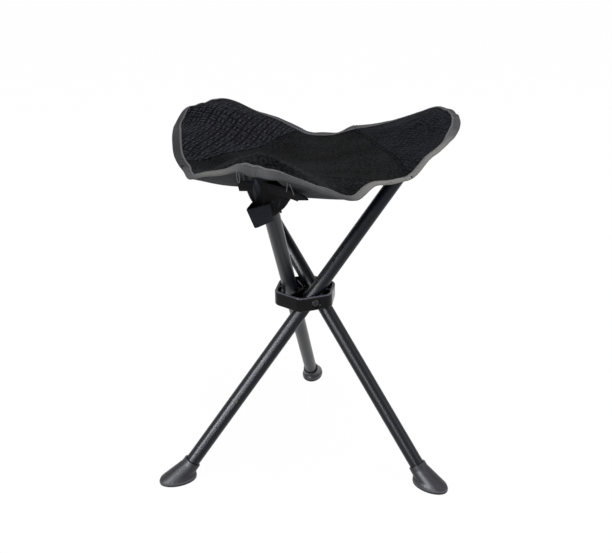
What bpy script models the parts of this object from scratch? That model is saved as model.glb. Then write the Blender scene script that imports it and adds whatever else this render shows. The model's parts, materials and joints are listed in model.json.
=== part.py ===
"""Three-legged folding stool: three tubes cross in one hub ring and spread a three-cornered cloth seat.

Metres, +Z up. Each leg swings on a rivet that points out from the hub axis. A leg's own frame has X along
its rivet, Z up along its tube and Y on the side that faces the floor at the upper end.
"""
import math

import bmesh
import bpy
import numpy as np
from mathutils import Matrix, Vector

# Fits
GAP = 0.0003
LEGS = ("a", "b", "c")

# Legs
TUBE_RADIUS = 0.008
TUBE_WALL = 0.0012
TUBE_TOP = 0.2315
SPREAD = math.radians(39.4)
PIN_TURN = math.radians(291.3)
PIVOT_HEIGHT = 0.197
PIVOT_RADIUS = 0.0158
TUBE_END_HEIGHT = 0.0095

# Upper tube plugs
CAP_FLANGE = 0.0017
CAP_DOME = 0.0065
CAP_PLUG = 0.012

# Hub ring
HUB_APOTHEM = 0.0322
HUB_ROUND = 0.012
HUB_WALL = 0.0032
HUB_HEIGHT = 0.016
HUB_EDGE = 0.0012
BOSS_RADIUS = 0.0068

# Rivets and saddles
RIVET_RADIUS = 0.0025
RIVET_HEAD_RADIUS = 0.0048
RIVET_HEAD_HEIGHT = 0.0015
RIVET_HEAD_RECESS = 0.0017
RIVET_TAIL_RADIUS = 0.0039
RIVET_TAIL_HEIGHT = 0.0018
SADDLE_OUTER_RADIUS = 0.0064
SADDLE_INNER_RADIUS = 0.0054
SADDLE_WEB = 0.0025
SADDLE_INNER_WEB = 0.0018
SADDLE_REACH = 0.0045

# Rubber feet
SOLE_LENGTH = 0.0426
SOLE_WIDTH = 0.0276
SOLE_EDGE = 0.0017
PAD_HEIGHT = 0.0086
COLLAR_WALL = 0.0015
COLLAR_START = 0.0217
COLLAR_END = 0.0277
COLLAR_LIP = 0.0005

# Seat cloth
CLOTH = 0.002
SEAT_TIP_LIFT = 0.0037
SEAT_SAG = 0.0422
SEAT_RIDGE_DISTANCE = 0.080
SEAT_RIDGE_DROPS = {"a": 0.0305, "b": 0.0335, "c": 0.0365}
SEAT_TIP_ADVANCE = 0.0022
SEAT_OVERHANG = 0.020
SEAT_END_HALF_WIDTH = 0.055
SEAT_CORNER_ROUND = 0.022
PATCH_LENGTH = 0.086
PANEL_CELL = 0.013
PATCH_CELL = 0.008

# Drop of the hem below the leg ends, at azimuths in degrees: three raised corners and three sagging sides
HEM_DROPS = (
    (7, 0.006), (15, 0.002), (25, 0.001), (32, 0.004), (41, 0.015), (60, 0.028), (71, 0.036), (88, 0.038),
    (103, 0.022), (119, 0.004), (125, -0.001), (135, 0.002), (144, 0.005), (150, 0.015), (167, 0.016),
    (180, 0.020), (189, 0.028), (209, 0.033), (225, 0.029), (237, 0.019), (249, 0.011), (260, 0.0145),
    (268, 0.0195), (275, 0.027), (289, 0.040), (299, 0.034), (320, 0.037), (328, 0.029), (344, 0.0125),
    (359, 0.0115),
)

# Edge binding
BINDING_WIDTH = 0.0105
BINDING_TAPE = 0.0009
BINDING_GAP = 0.0007
BINDING_INSET = 0.0016

# Pockets and webbing, placed down from the top of the tube
POCKET_LENGTH = 0.0575
POCKET_WAIST_RISE = 0.0295
POCKET_WALL = 0.0012
POCKET_MOUTH = 0.0098
POCKET_WAIST_WIDTH = 0.0236
POCKET_WAIST_DEPTH = 0.0104
POCKET_HALF_WIDTH = 0.029
POCKET_DROP = 0.0036
POCKET_TOP_BACK = 0.0024
POCKET_TOP_DEPTH = 0.0215
WEB_DROP = 0.0170
WEB_WIDTH = 0.020
WEB_THICKNESS = 0.0014
WEB_REACH = 0.034
WEB_SLACK = 0.0012
WEB_FULLNESS = 2.6
STRAP_DROP = 0.0680
STRAP_WIDTH = 0.024
STRAP_THICKNESS = 0.0016
STRAP_TILT = math.radians(6.8)
STRAP_SPAN = 0.0120
STRAP_TAIL = 0.0030

# Values that follow from the ones above
HOLLOW_RADIUS = TUBE_RADIUS + GAP
BORE_RADIUS = RIVET_RADIUS + GAP
TUBE_BOTTOM = -(PIVOT_HEIGHT - TUBE_END_HEIGHT) / math.cos(SPREAD)
FLOOR_OFFSET = PIVOT_HEIGHT * math.tan(SPREAD)
BOSS_FACE = PIVOT_RADIUS + HOLLOW_RADIUS + SADDLE_WEB + GAP
TAIL_FACE = PIVOT_RADIUS - HOLLOW_RADIUS - SADDLE_INNER_WEB - GAP
TIP_RUN = TUBE_TOP * math.sin(SPREAD)
CORNER_LAG = math.atan2(TIP_RUN, PIVOT_RADIUS)
CAP_BRIM = TUBE_TOP + GAP + CAP_FLANGE
CAP_RISE = math.hypot(CAP_DOME * math.cos(SPREAD), TUBE_RADIUS * math.sin(SPREAD))
SEAT_TIP_HEIGHT = PIVOT_HEIGHT + CAP_BRIM * math.cos(SPREAD) + CAP_RISE + SEAT_TIP_LIFT
SEAT_CENTRE_HEIGHT = SEAT_TIP_HEIGHT - SEAT_SAG
SEAT_TIP_DISTANCE = math.hypot(PIVOT_RADIUS, TIP_RUN) + SEAT_TIP_ADVANCE
SEAT_END_DISTANCE = SEAT_TIP_DISTANCE + SEAT_OVERHANG
SEAT_EDGE_DISTANCE = SEAT_END_DISTANCE / 2 + SEAT_END_HALF_WIDTH * math.sin(math.pi / 3)
SEAM_DISTANCE = SEAT_END_DISTANCE - PATCH_LENGTH
POCKET_START = TUBE_TOP - POCKET_LENGTH
POCKET_WAIST = POCKET_START + POCKET_WAIST_RISE
POCKET_TOP_CENTRE = TIP_RUN - POCKET_TOP_BACK
WEB_CENTRE = TUBE_TOP - WEB_DROP
STRAP_CENTRE = TUBE_TOP - STRAP_DROP
STRAP_RADIUS = POCKET_MOUTH + 2 * GAP + STRAP_THICKNESS


def pin_azimuth(leg):
    """Direction of one leg's rivet, seen from above."""
    return PIN_TURN - LEGS.index(leg) * math.tau / 3


def corner_azimuth(leg):
    """Direction of one seat corner, over the upper end of its leg."""
    return pin_azimuth(leg) + CORNER_LAG


def clear_scene():
    for item in list(bpy.data.objects):
        bpy.data.objects.remove(item)


def new_collection(name):
    made = bpy.data.collections.new(name)
    bpy.context.scene.collection.children.link(made)
    return made


clear_scene()
parts = new_collection("folding_tripod_stool")
cutters = new_collection("cutters")


def material(name, colour, roughness, metallic=0.0):
    made = bpy.data.materials.new(name)
    made.use_nodes = True
    shader = made.node_tree.nodes["Principled BSDF"]
    shader.inputs["Base Color"].default_value = (*colour, 1.0)
    shader.inputs["Roughness"].default_value = roughness
    shader.inputs["Metallic"].default_value = metallic
    return made


def empty(name, location, rotation, parent=None):
    """A frame that pieces hang on, such as a leg on its hinge axis."""
    frame = bpy.data.objects.new(name, None)
    parts.objects.link(frame)
    frame.location = location
    frame.rotation_euler = rotation
    frame.parent = parent
    return frame


def place(mesh, name, parent, look=None):
    """One named piece in the parts collection, or a hidden cutter where no look is given."""
    mesh.name = name
    piece = bpy.data.objects.new(name, mesh)
    piece.parent = parent
    if look is None:
        cutters.objects.link(piece)
        piece.hide_render = True
        piece.display_type = "WIRE"
        return piece
    parts.objects.link(piece)
    mesh.materials.clear()
    mesh.materials.append(material(name, *look))
    return piece


def boolean(piece, tool, operation="DIFFERENCE"):
    step = piece.modifiers.new(tool.name, "BOOLEAN")
    step.operation = operation
    step.solver = "EXACT"
    step.object = tool


def mesh_from(work):
    mesh = bpy.data.meshes.new("piece")
    work.to_mesh(mesh)
    work.free()
    return mesh


def rod(radius, start, end, steps=32):
    """Plain cylinder along X from start to end."""
    work = bmesh.new()
    bmesh.ops.create_cone(work, cap_ends=True, segments=steps, radius1=radius, radius2=radius,
                          depth=end - start)
    turn = Matrix.Rotation(math.pi / 2, 4, "Y")
    shift = Matrix.Translation(((start + end) / 2, 0.0, 0.0))
    bmesh.ops.transform(work, matrix=shift @ turn, verts=work.verts)
    return mesh_from(work)


def post(radius, start, end, steps=32):
    """Plain cylinder along Z from start to end."""
    work = bmesh.new()
    bmesh.ops.create_cone(work, cap_ends=True, segments=steps, radius1=radius, radius2=radius,
                          depth=end - start)
    bmesh.ops.translate(work, vec=(0.0, 0.0, (start + end) / 2), verts=work.verts)
    return mesh_from(work)


def turned(name, profile, parent, look, closed=False, steps=32):
    """Body of revolution about Z; the profile runs from top to bottom down its outer side."""
    work = bmesh.new()
    spots = [work.verts.new((radius, 0.0, height)) for radius, height in profile]
    for one, two in zip(spots, spots[1:]):
        work.edges.new((one, two))
    if closed:
        work.edges.new((spots[-1], spots[0]))
    piece = place(mesh_from(work), name, parent, look)
    screw = piece.modifiers.new("turn", "SCREW")
    screw.steps = steps
    screw.render_steps = steps
    screw.use_merge_vertices = True
    screw.merge_threshold = 0.00001
    return piece


def skin(rings, loop=False):
    """Loft through rings of equal length; the ends are capped, or joined when the loft is a loop."""
    work = bmesh.new()
    rows = [[work.verts.new(spot) for spot in ring] for ring in rings]
    pairs = list(zip(rows, rows[1:]))
    if loop:
        pairs.append((rows[-1], rows[0]))
    for low, high in pairs:
        for k, spot in enumerate(low):
            after = (k + 1) % len(low)
            work.faces.new((spot, low[after], high[after], high[k]))
    if not loop:
        work.faces.new(reversed(rows[0]))
        work.faces.new(rows[-1])
    bmesh.ops.recalc_face_normals(work, faces=work.faces)
    return mesh_from(work)


def blend(low, high, share):
    return low + (high - low) * share


def round_sides(sides, radius, steps):
    """Sides of a convex outline with each corner replaced by sides that touch its rounding arc."""
    made = []
    for k, (turn, reach) in enumerate(sides):
        after, far = sides[(k + 1) % len(sides)]
        after += math.tau if after < turn else 0.0
        made.append((turn, reach))
        spread = after - turn
        one, two = reach - radius, far - radius
        middle = (two - one * math.cos(spread)) / math.sin(spread)
        for step in range(1, steps):
            bend = spread * step / steps
            made.append((turn + bend, one * math.cos(bend) + middle * math.sin(bend) + radius))
    return made


def outline(sides):
    """Corner points of a convex outline given as the azimuth and distance of each side."""
    spots = []
    for k, (turn, reach) in enumerate(sides):
        after, far = sides[(k + 1) % len(sides)]
        spread = after - turn
        along = (far - reach * math.cos(spread)) / math.sin(spread)
        spots.append(Vector((reach * math.cos(turn) - along * math.sin(turn),
                             reach * math.sin(turn) + along * math.cos(turn))))
    return spots


def seat_sides(inset):
    """Sides of the seat outline, drawn in by an inset."""
    sides = []
    for leg in reversed(LEGS):
        turn = corner_azimuth(leg) % math.tau
        sides.append((turn, SEAT_END_DISTANCE - inset))
        sides.append(((turn + math.pi / 3) % math.tau, SEAT_EDGE_DISTANCE - inset))
    return round_sides(sorted(sides), SEAT_CORNER_ROUND - inset, 3)


def hem_spot(turn):
    """The point of the seat outline at one azimuth."""
    reach = min(far / math.cos(turn - side) for side, far in seat_sides(0.0) if math.cos(turn - side) > 0.1)
    return reach * math.cos(turn), reach * math.sin(turn)


def cloth_pins():
    """Points that the seat passes through: its hem, its middle, and two on each line to a leg end."""
    pins = [(0.0, 0.0, SEAT_CENTRE_HEIGHT)]
    for degrees, drop in HEM_DROPS:
        pins.append((*hem_spot(math.radians(degrees)), SEAT_TIP_HEIGHT - drop))
    for leg in LEGS:
        turn = corner_azimuth(leg)
        for reach, drop in ((SEAT_RIDGE_DISTANCE, SEAT_RIDGE_DROPS[leg]), (SEAT_TIP_DISTANCE, 0.0)):
            pins.append((reach * math.cos(turn), reach * math.sin(turn), SEAT_TIP_HEIGHT - drop))
    return np.array(pins)


def plate_kernel(spots, others):
    """How a load at one point bends a thin plate at another."""
    gap = np.linalg.norm(spots[:, None] - others[None, :], axis=2)
    return gap ** 2 * np.log(np.maximum(gap, 1e-9))


def plate_loads(pins):
    """Loads and level plane of the thin plate that passes through the pins with the least bending."""
    count = len(pins)
    system = np.zeros((count + 3, count + 3))
    system[:count, :count] = plate_kernel(pins[:, :2], pins[:, :2])
    system[:count, count] = 1.0
    system[:count, count + 1:] = pins[:, :2]
    system[count:, :count] = system[:count, count:].T
    return np.linalg.solve(system, np.append(pins[:, 2], (0.0, 0.0, 0.0)))


seat_pins = cloth_pins()
seat_loads = plate_loads(seat_pins)


def cloth_height(x, y):
    """Height of the seat's middle surface: a sling that hangs between the three leg ends."""
    spot = np.array([(x, y)])
    bent = plate_kernel(spot, seat_pins[:, :2]) @ seat_loads[:-3]
    return float(bent[0] + seat_loads[-3] + spot[0] @ seat_loads[-2:])


root = empty("stool_frame", (0.0, 0.0, 0.0), (0.0, 0.0, 0.0))

BLACK_PLASTIC = ((0.012, 0.012, 0.014), 0.25)
TUBE_PAINT = ((0.020, 0.023, 0.032), 0.35)
RUBBER = ((0.065, 0.065, 0.075), 0.75)
STEEL = ((0.018, 0.018, 0.020), 0.35, 1.0)
NYLON = ((0.016, 0.016, 0.018), 0.45)
SEAT_CLOTH = ((0.012, 0.012, 0.013), 0.85)
POCKET_CLOTH = ((0.009, 0.009, 0.010), 0.90)
TAPE = ((0.130, 0.130, 0.140), 0.80)
WEBBING = ((0.028, 0.030, 0.034), 0.80)

# One frame on each leg's hinge axis, leaning with the leg
pivots = {}
for leg in LEGS:
    turn = pin_azimuth(leg)
    spot = (PIVOT_RADIUS * math.cos(turn), PIVOT_RADIUS * math.sin(turn), PIVOT_HEIGHT)
    pivots[leg] = empty("leg_pivot_" + leg, spot, (-SPREAD, 0.0, turn), root)


def hub_outline(inset):
    """Rounded hexagon with a flat side at each rivet."""
    sides = []
    for k in range(6):
        sides.append(((PIN_TURN + k * math.pi / 3) % math.tau, HUB_APOTHEM - inset))
    return outline(round_sides(sorted(sides), HUB_ROUND - inset, 6))


def hub_mesh():
    """The ring as a filled outline with a rounded edge, before bosses and bores."""
    curve = bpy.data.curves.new("hub_outline", "CURVE")
    curve.dimensions = "2D"
    curve.fill_mode = "BOTH"
    curve.extrude = HUB_HEIGHT / 2 - HUB_EDGE
    curve.bevel_depth = HUB_EDGE
    curve.bevel_resolution = 2
    for inset in (HUB_EDGE, HUB_WALL - HUB_EDGE):
        spots = hub_outline(inset)
        spline = curve.splines.new("POLY")
        spline.points.add(len(spots) - 1)
        for point, spot in zip(spline.points, spots):
            point.co = (spot.x, spot.y, 0.0, 1.0)
        spline.use_cyclic_u = True
    drawn = bpy.data.objects.new("hub_drawing", curve)
    bpy.context.scene.collection.objects.link(drawn)
    seen = drawn.evaluated_get(bpy.context.evaluated_depsgraph_get())
    mesh = bpy.data.meshes.new_from_object(seen)
    mesh.transform(drawn.matrix_world)
    bpy.data.objects.remove(drawn)
    work = bmesh.new()
    work.from_mesh(mesh)
    bmesh.ops.remove_doubles(work, verts=work.verts, dist=0.00001)
    work.to_mesh(mesh)
    work.free()
    return mesh


hub_level = empty("hub_level", (0.0, 0.0, PIVOT_HEIGHT), (0.0, 0.0, 0.0), root)
hub = place(hub_mesh(), "hub_ring", hub_level, BLACK_PLASTIC)

bores = {}
rivet_frames = {}
for leg in LEGS:
    frame = empty("rivet_frame_" + leg, (0.0, 0.0, PIVOT_HEIGHT), (0.0, 0.0, pin_azimuth(leg)), root)
    rivet_frames[leg] = frame
    boss = place(rod(BOSS_RADIUS, BOSS_FACE, HUB_APOTHEM - HUB_WALL / 2), "boss_" + leg, frame)
    boolean(hub, boss, "UNION")
for leg in LEGS:
    bores[leg] = place(rod(BORE_RADIUS, TAIL_FACE / 2, HUB_APOTHEM + HUB_WALL), "bore_" + leg,
                       rivet_frames[leg])
    boolean(hub, bores[leg])
    recess = place(rod(RIVET_HEAD_RADIUS + GAP, HUB_APOTHEM - RIVET_HEAD_RECESS, HUB_APOTHEM + HUB_WALL),
                   "head_recess_" + leg, rivet_frames[leg])
    boolean(hub, recess)


def rivet_profile():
    """Head sunk in the ring, shank through the stack, flared tail inside; heights are radii from the axis."""
    seat = HUB_APOTHEM - RIVET_HEAD_RECESS + GAP
    spots = []
    for step in range(7):
        bend = math.pi / 2 * step / 6
        spots.append((RIVET_HEAD_RADIUS * math.sin(bend), seat + RIVET_HEAD_HEIGHT * math.cos(bend)))
    spots += [(RIVET_RADIUS, seat), (RIVET_RADIUS, TAIL_FACE), (RIVET_TAIL_RADIUS, TAIL_FACE)]
    spots += [(RIVET_TAIL_RADIUS * 0.8, TAIL_FACE - RIVET_TAIL_HEIGHT), (0.0, TAIL_FACE - RIVET_TAIL_HEIGHT)]
    return spots


def foot_rings():
    """Sections of the boot from the flat oval sole to the collar square to the tube."""
    collar = TUBE_RADIUS + GAP + COLLAR_WALL
    long, wide = SOLE_LENGTH / 2, SOLE_WIDTH / 2
    flat = Vector((0.0, -1.0, 0.0))
    lean = Vector((0.0, -math.cos(SPREAD), math.sin(SPREAD)))
    axis = Vector((0.0, math.sin(SPREAD), math.cos(SPREAD)))
    rise = PAD_HEIGHT
    sections = [
        (Vector((0.0, -0.0005, 0.0)), flat * (long - SOLE_EDGE), wide - SOLE_EDGE),
        (Vector((0.0, -0.0005, rise * 0.10)), flat * (long - SOLE_EDGE * 0.25), wide - SOLE_EDGE * 0.25),
        (Vector((0.0, -0.0005, rise * 0.37)), flat * long, wide),
        (Vector((0.0, 0.0000, rise * 0.72)), flat * (long * 0.967), wide * 0.95),
        (Vector((0.0, 0.0012, rise)), flat * (long * 0.864), wide * 0.855),
        (axis * COLLAR_START, lean * (collar + 0.0001), collar + 0.0001),
        (axis * (COLLAR_END - COLLAR_LIP), lean * collar, collar),
        (axis * COLLAR_END, lean * (collar - COLLAR_LIP), collar - COLLAR_LIP),
    ]
    rings = []
    for middle, toe, side in sections:
        ring = []
        for step in range(28):
            bend = math.tau * step / 28
            ring.append(middle + toe * math.cos(bend) + Vector((side * math.sin(bend), 0.0, 0.0)))
        rings.append(ring)
    return rings


def in_leg(leg, spot):
    """A spot given about the hub axis, seen in one leg's own frame."""
    return leg_frame(leg).inverted() @ Vector(spot)


def leg_frame(leg):
    turn = pin_azimuth(leg)
    shift = Matrix.Translation((PIVOT_RADIUS * math.cos(turn), PIVOT_RADIUS * math.sin(turn), PIVOT_HEIGHT))
    return shift @ Matrix.Rotation(turn, 4, "Z") @ Matrix.Rotation(-SPREAD, 4, "X")


def oval(width, depth, level, steps=24):
    return [Vector((width * math.cos(math.tau * k / steps), depth * math.sin(math.tau * k / steps), level))
            for k in range(steps)]


def pocket_top(leg, slack, steps=24):
    """Upper rim of a pocket, sewn flat against the underside of the seat."""
    turn = pin_azimuth(leg)
    ring = []
    for k in range(steps):
        bend = math.tau * k / steps
        side = PIVOT_RADIUS + (POCKET_HALF_WIDTH - slack) * math.cos(bend)
        run = POCKET_TOP_CENTRE + (POCKET_TOP_DEPTH - slack) * math.sin(bend)
        x = side * math.cos(turn) - run * math.sin(turn)
        y = side * math.sin(turn) + run * math.cos(turn)
        ring.append(in_leg(leg, (x, y, cloth_height(x, y) - POCKET_DROP)))
    return ring


def pocket_mesh(leg):
    """Sleeve that widens from the tube to a flat oval under the corner, open at both ends."""
    outside, inside = [], []
    for share, widen in ((0.0, 0.0), (0.54, 0.42), (1.0, 1.0)):
        width = blend(POCKET_MOUTH, POCKET_WAIST_WIDTH, widen)
        depth = blend(POCKET_MOUTH, POCKET_WAIST_DEPTH, widen)
        level = blend(POCKET_START, POCKET_WAIST, share)
        outside.append(oval(width, depth, level))
        inside.append(oval(width - POCKET_WALL, depth - POCKET_WALL, level))
    outside.append(pocket_top(leg, 0.0))
    inside.append(pocket_top(leg, POCKET_WALL))
    return skin(outside + inside[::-1], loop=True)


def webbing_mesh(leg):
    """Flat strip bowed across the floor side of a pocket and leaning with it, with both ends free."""
    rim = max(pocket_top(leg, 0.0), key=lambda spot: spot.y)
    wall = Vector((0.0, rim.y - POCKET_WAIST_DEPTH, rim.z - POCKET_WAIST))
    bow = POCKET_WAIST_DEPTH + (WEB_CENTRE - POCKET_WAIST) * wall.y / wall.z + WEB_SLACK
    up = wall.normalized() * (WEB_WIDTH / 2)
    rings = []
    for k in range(15):
        share = 2.0 * k / 14 - 1.0
        fall = WEB_FULLNESS * bow / WEB_REACH * math.copysign(abs(share) ** (WEB_FULLNESS - 1.0), share)
        out = Vector((fall, 1.0, 0.0)).normalized() * (WEB_THICKNESS / 2)
        spot = Vector((share * WEB_REACH, bow * (1.0 - abs(share) ** WEB_FULLNESS), WEB_CENTRE))
        rings.append([spot + out + up, spot + out - up, spot - out - up, spot - out + up])
    return skin(rings)


def strap_mesh():
    """Open band: one end behind the tube, a slack turn beside it, the free end in front."""
    path = [(-STRAP_TAIL, -0.5)]
    for k in range(17):
        path.append((STRAP_SPAN, -0.5 + k / 16))
    path.append((-STRAP_TAIL, 0.5))
    rings = []
    for middle, share in path:
        bend = math.pi * share
        ring = []
        for slack, level in ((0.0, 1), (0.0, -1), (STRAP_THICKNESS, -1), (STRAP_THICKNESS, 1)):
            ring.append(Vector((middle + (STRAP_RADIUS - slack) * math.cos(bend),
                                (STRAP_RADIUS - slack) * math.sin(bend), level * STRAP_WIDTH / 2)))
        rings.append(ring)
    return skin(rings)


for leg in LEGS:
    pivot = pivots[leg]
    inner = TUBE_RADIUS - TUBE_WALL

    # Tube, cross-drilled for its rivet
    tube = turned("leg_tube_" + leg,
                  [(TUBE_RADIUS, TUBE_TOP), (TUBE_RADIUS, TUBE_BOTTOM), (inner, TUBE_BOTTOM), (inner, TUBE_TOP)],
                  pivot, TUBE_PAINT, closed=True)
    boolean(tube, bores[leg])

    # Plug in the upper end
    flange = TUBE_TOP + GAP
    profile = []
    for step in range(6):
        bend = math.pi / 2 * step / 5
        profile.append((TUBE_RADIUS * math.sin(bend), CAP_BRIM + CAP_DOME * math.cos(bend)))
    profile += [(TUBE_RADIUS, flange), (inner - GAP, flange), (inner - GAP, TUBE_TOP - CAP_PLUG)]
    profile.append((0.0, TUBE_TOP - CAP_PLUG))
    turned("leg_cap_" + leg, profile, pivot, NYLON, steps=24)

    # Rivet on the hub, and the two saddles that turn with the tube
    stem = empty("rivet_axis_" + leg, (0.0, 0.0, 0.0), (0.0, math.pi / 2, 0.0), rivet_frames[leg])
    turned("pivot_rivet_" + leg, rivet_profile(), stem, STEEL, steps=20)
    hollow = place(post(HOLLOW_RADIUS, -2 * TUBE_RADIUS, 2 * TUBE_RADIUS, 48), "saddle_hollow_" + leg, pivot)
    outer = place(rod(SADDLE_OUTER_RADIUS, SADDLE_REACH, BOSS_FACE - GAP - PIVOT_RADIUS),
                  "outer_saddle_" + leg, pivot, NYLON)
    inside = place(rod(SADDLE_INNER_RADIUS, TAIL_FACE + GAP - PIVOT_RADIUS, -SADDLE_REACH),
                   "inner_saddle_" + leg, pivot, NYLON)
    for saddle in (outer, inside):
        boolean(saddle, hollow)
        boolean(saddle, bores[leg])

    # Boot, level with the floor, with a socket for the tube
    turn = pin_azimuth(leg)
    print_spot = Matrix.Rotation(turn, 3, "Z") @ Vector((PIVOT_RADIUS, -FLOOR_OFFSET, 0.0))
    ground = empty("foot_frame_" + leg, print_spot, (0.0, 0.0, turn), root)
    foot = place(skin(foot_rings()), "rubber_foot_" + leg, ground, RUBBER)
    socket = place(post(HOLLOW_RADIUS, TUBE_BOTTOM - GAP, TUBE_BOTTOM + 2 * COLLAR_END), "foot_socket_" + leg, pivot)
    boolean(foot, socket)

    # Cloth sleeve and its webbing
    place(pocket_mesh(leg), "leg_pocket_" + leg, pivot, POCKET_CLOTH)
    place(webbing_mesh(leg), "pocket_webbing_" + leg, pivot, WEBBING)

strap_frame = empty("strap_frame", (0.0, 0.0, STRAP_CENTRE), (0.0, STRAP_TILT, 0.0), pivots["b"])
place(strap_mesh(), "closing_strap", strap_frame, WEBBING)


def cloth_sheet(name, turn, cell, sides):
    """Grid laid along one azimuth, trimmed to a convex outline, draped and thickened."""
    half = SEAT_END_DISTANCE * 1.1
    count = 2 * round(half / cell)
    work = bmesh.new()
    bmesh.ops.create_grid(work, x_segments=count, y_segments=count, size=half,
                          matrix=Matrix.Rotation(turn, 4, "Z"))
    for azimuth, distance in sides:
        out = Vector((math.cos(azimuth), math.sin(azimuth), 0.0))
        everything = list(work.verts) + list(work.edges) + list(work.faces)
        bmesh.ops.bisect_plane(work, geom=everything, dist=0.00001, plane_co=out * distance, plane_no=out,
                               clear_outer=True)
    bmesh.ops.remove_doubles(work, verts=work.verts, dist=0.0001)
    for spot in work.verts:
        spot.co.z = cloth_height(spot.co.x, spot.co.y)
    sheet = place(mesh_from(work), name, root, SEAT_CLOTH)
    thick = sheet.modifiers.new("cloth", "SOLIDIFY")
    thick.thickness = CLOTH
    thick.offset = 0.0
    return sheet


edge = seat_sides(BINDING_INSET)
seams = [(corner_azimuth(leg), SEAM_DISTANCE - GAP / 2) for leg in LEGS]
cloth_sheet("seat_panel", corner_azimuth("a"), PANEL_CELL, edge + seams)
for leg in LEGS:
    seam = (corner_azimuth(leg) + math.pi, -SEAM_DISTANCE - GAP / 2)
    cloth_sheet("corner_patch_" + leg, corner_azimuth(leg), PATCH_CELL, edge + [seam])


def binding_loop(inset, lift):
    """Points round the seat at one inset, dense enough to follow the drape."""
    corners = outline(seat_sides(inset))
    spots = []
    for k, spot in enumerate(corners):
        after = corners[(k + 1) % len(corners)]
        count = max(1, round((after - spot).length / PATCH_CELL)) if inset == 0.0 else binding_counts[k]
        if inset == 0.0:
            binding_counts.append(count)
        for step in range(count):
            flat = spot.lerp(after, step / count)
            spots.append(Vector((flat.x, flat.y, cloth_height(flat.x, flat.y) + lift)))
    return spots


binding_counts = []
inner_lift = CLOTH / 2 + BINDING_GAP
outer_lift = inner_lift + BINDING_TAPE
section = [(0.0, outer_lift), (0.0, -outer_lift), (BINDING_WIDTH, -outer_lift), (BINDING_WIDTH, -inner_lift)]
section += [(BINDING_TAPE, -inner_lift), (BINDING_TAPE, inner_lift)]
section += [(BINDING_WIDTH, inner_lift), (BINDING_WIDTH, outer_lift)]
loops = []
for inset, lift in section:
    if inset == 0.0:
        binding_counts.clear()
    loops.append(binding_loop(inset, lift))
place(skin(loops, loop=True), "edge_binding", root, TAPE)

# Centre the whole stool over the origin
bpy.context.view_layer.update()
graph = bpy.context.evaluated_depsgraph_get()
spots = []
for piece in parts.objects:
    if piece.type == "MESH":
        seen = piece.evaluated_get(graph)
        spots += [piece.matrix_world @ corner.co for corner in seen.data.vertices]
low_x, high_x = min(spot.x for spot in spots), max(spot.x for spot in spots)
low_y, high_y = min(spot.y for spot in spots), max(spot.y for spot in spots)
root.location = (-(low_x + high_x) / 2, -(low_y + high_y) / 2, -min(spot.z for spot in spots))
bpy.context.view_layer.update()
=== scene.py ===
# %% [markdown]
# A folding tripod stool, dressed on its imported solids. Three painted tubes cross in a plastic hub and
# spread a three-cornered cloth seat. The hard parts keep their solids and get a finish. The soft parts are
# made again here as cloth: one draped sheet with sewn corners, a taped hem, pockets for the tube ends and a
# closing strap.

# %% Load the fixed frame
import json
import math

import bmesh
import bpy
import numpy as np
from mathutils import Matrix, Vector, geometry, noise


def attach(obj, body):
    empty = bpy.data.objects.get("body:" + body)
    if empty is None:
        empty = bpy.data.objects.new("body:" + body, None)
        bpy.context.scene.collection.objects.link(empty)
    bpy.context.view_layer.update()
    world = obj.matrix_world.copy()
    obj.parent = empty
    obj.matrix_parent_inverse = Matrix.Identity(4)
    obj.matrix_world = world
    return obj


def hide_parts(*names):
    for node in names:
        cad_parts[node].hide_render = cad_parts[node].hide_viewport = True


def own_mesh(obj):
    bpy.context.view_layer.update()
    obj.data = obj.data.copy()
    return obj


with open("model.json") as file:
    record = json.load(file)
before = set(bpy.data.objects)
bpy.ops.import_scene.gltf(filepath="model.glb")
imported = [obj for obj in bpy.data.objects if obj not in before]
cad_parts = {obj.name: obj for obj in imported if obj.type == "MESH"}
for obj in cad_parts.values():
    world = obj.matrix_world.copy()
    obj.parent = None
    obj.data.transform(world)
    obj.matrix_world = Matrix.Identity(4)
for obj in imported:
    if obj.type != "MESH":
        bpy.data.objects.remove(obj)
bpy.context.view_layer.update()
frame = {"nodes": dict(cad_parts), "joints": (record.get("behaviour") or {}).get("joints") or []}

# %% [markdown]
# The camera stands about 0.8 m in front of the stool and looks 22 degrees down, with a slight roll. Its
# place was solved from the legs, so the three feet and the hub fall where the picture has them.

# %% Camera
PICTURE_WIDTH = 612
FOCAL_PIXELS = 766.3
CAMERA_SPOT = Vector((-0.0041, -0.7940, 0.5391))
CAMERA_PITCH = math.radians(22.19)
CAMERA_ROLL = math.radians(-0.56)


def camera_axes():
    ahead = Vector((0.0, math.cos(CAMERA_PITCH), -math.sin(CAMERA_PITCH)))
    above = Vector((0.0, math.sin(CAMERA_PITCH), math.cos(CAMERA_PITCH)))
    side = Vector((1.0, 0.0, 0.0))
    c, s = math.cos(CAMERA_ROLL), math.sin(CAMERA_ROLL)
    return side * c + above * s, above * c - side * s, ahead


def posed(spot, wide, high, back):
    """Matrix of an object at a spot, with its three axes."""
    return Matrix.Translation(spot) @ Matrix((wide, high, back)).transposed().to_4x4()


scene = bpy.context.scene
scene.view_settings.view_transform = "Standard"
lens = bpy.data.cameras.new("camera")
lens.sensor_width = 36.0
lens.lens = FOCAL_PIXELS / PICTURE_WIDTH * lens.sensor_width
lens.clip_start = 0.01
camera = bpy.data.objects.new("camera", lens)
scene.collection.objects.link(camera)
side, above, ahead = camera_axes()
camera.matrix_world = posed(CAMERA_SPOT, side, above, -ahead)
scene.camera = camera
print("camera lens", round(lens.lens, 2), "mm")

# %% [markdown]
# The picture has a white studio. The floor and the world show white to the camera and to reflections, and
# light the stool at a plain level. The camera looks through the floor to the white world, and sees only the
# shadow on it, because the hub stays where it is when the stool folds, and the feet then swing down past
# the floor. Three narrow lamps show only in reflections. The first draws the bright line down the left
# tube, the second makes that line brighter toward the foot, and the third draws the line down the front
# tube.

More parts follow.
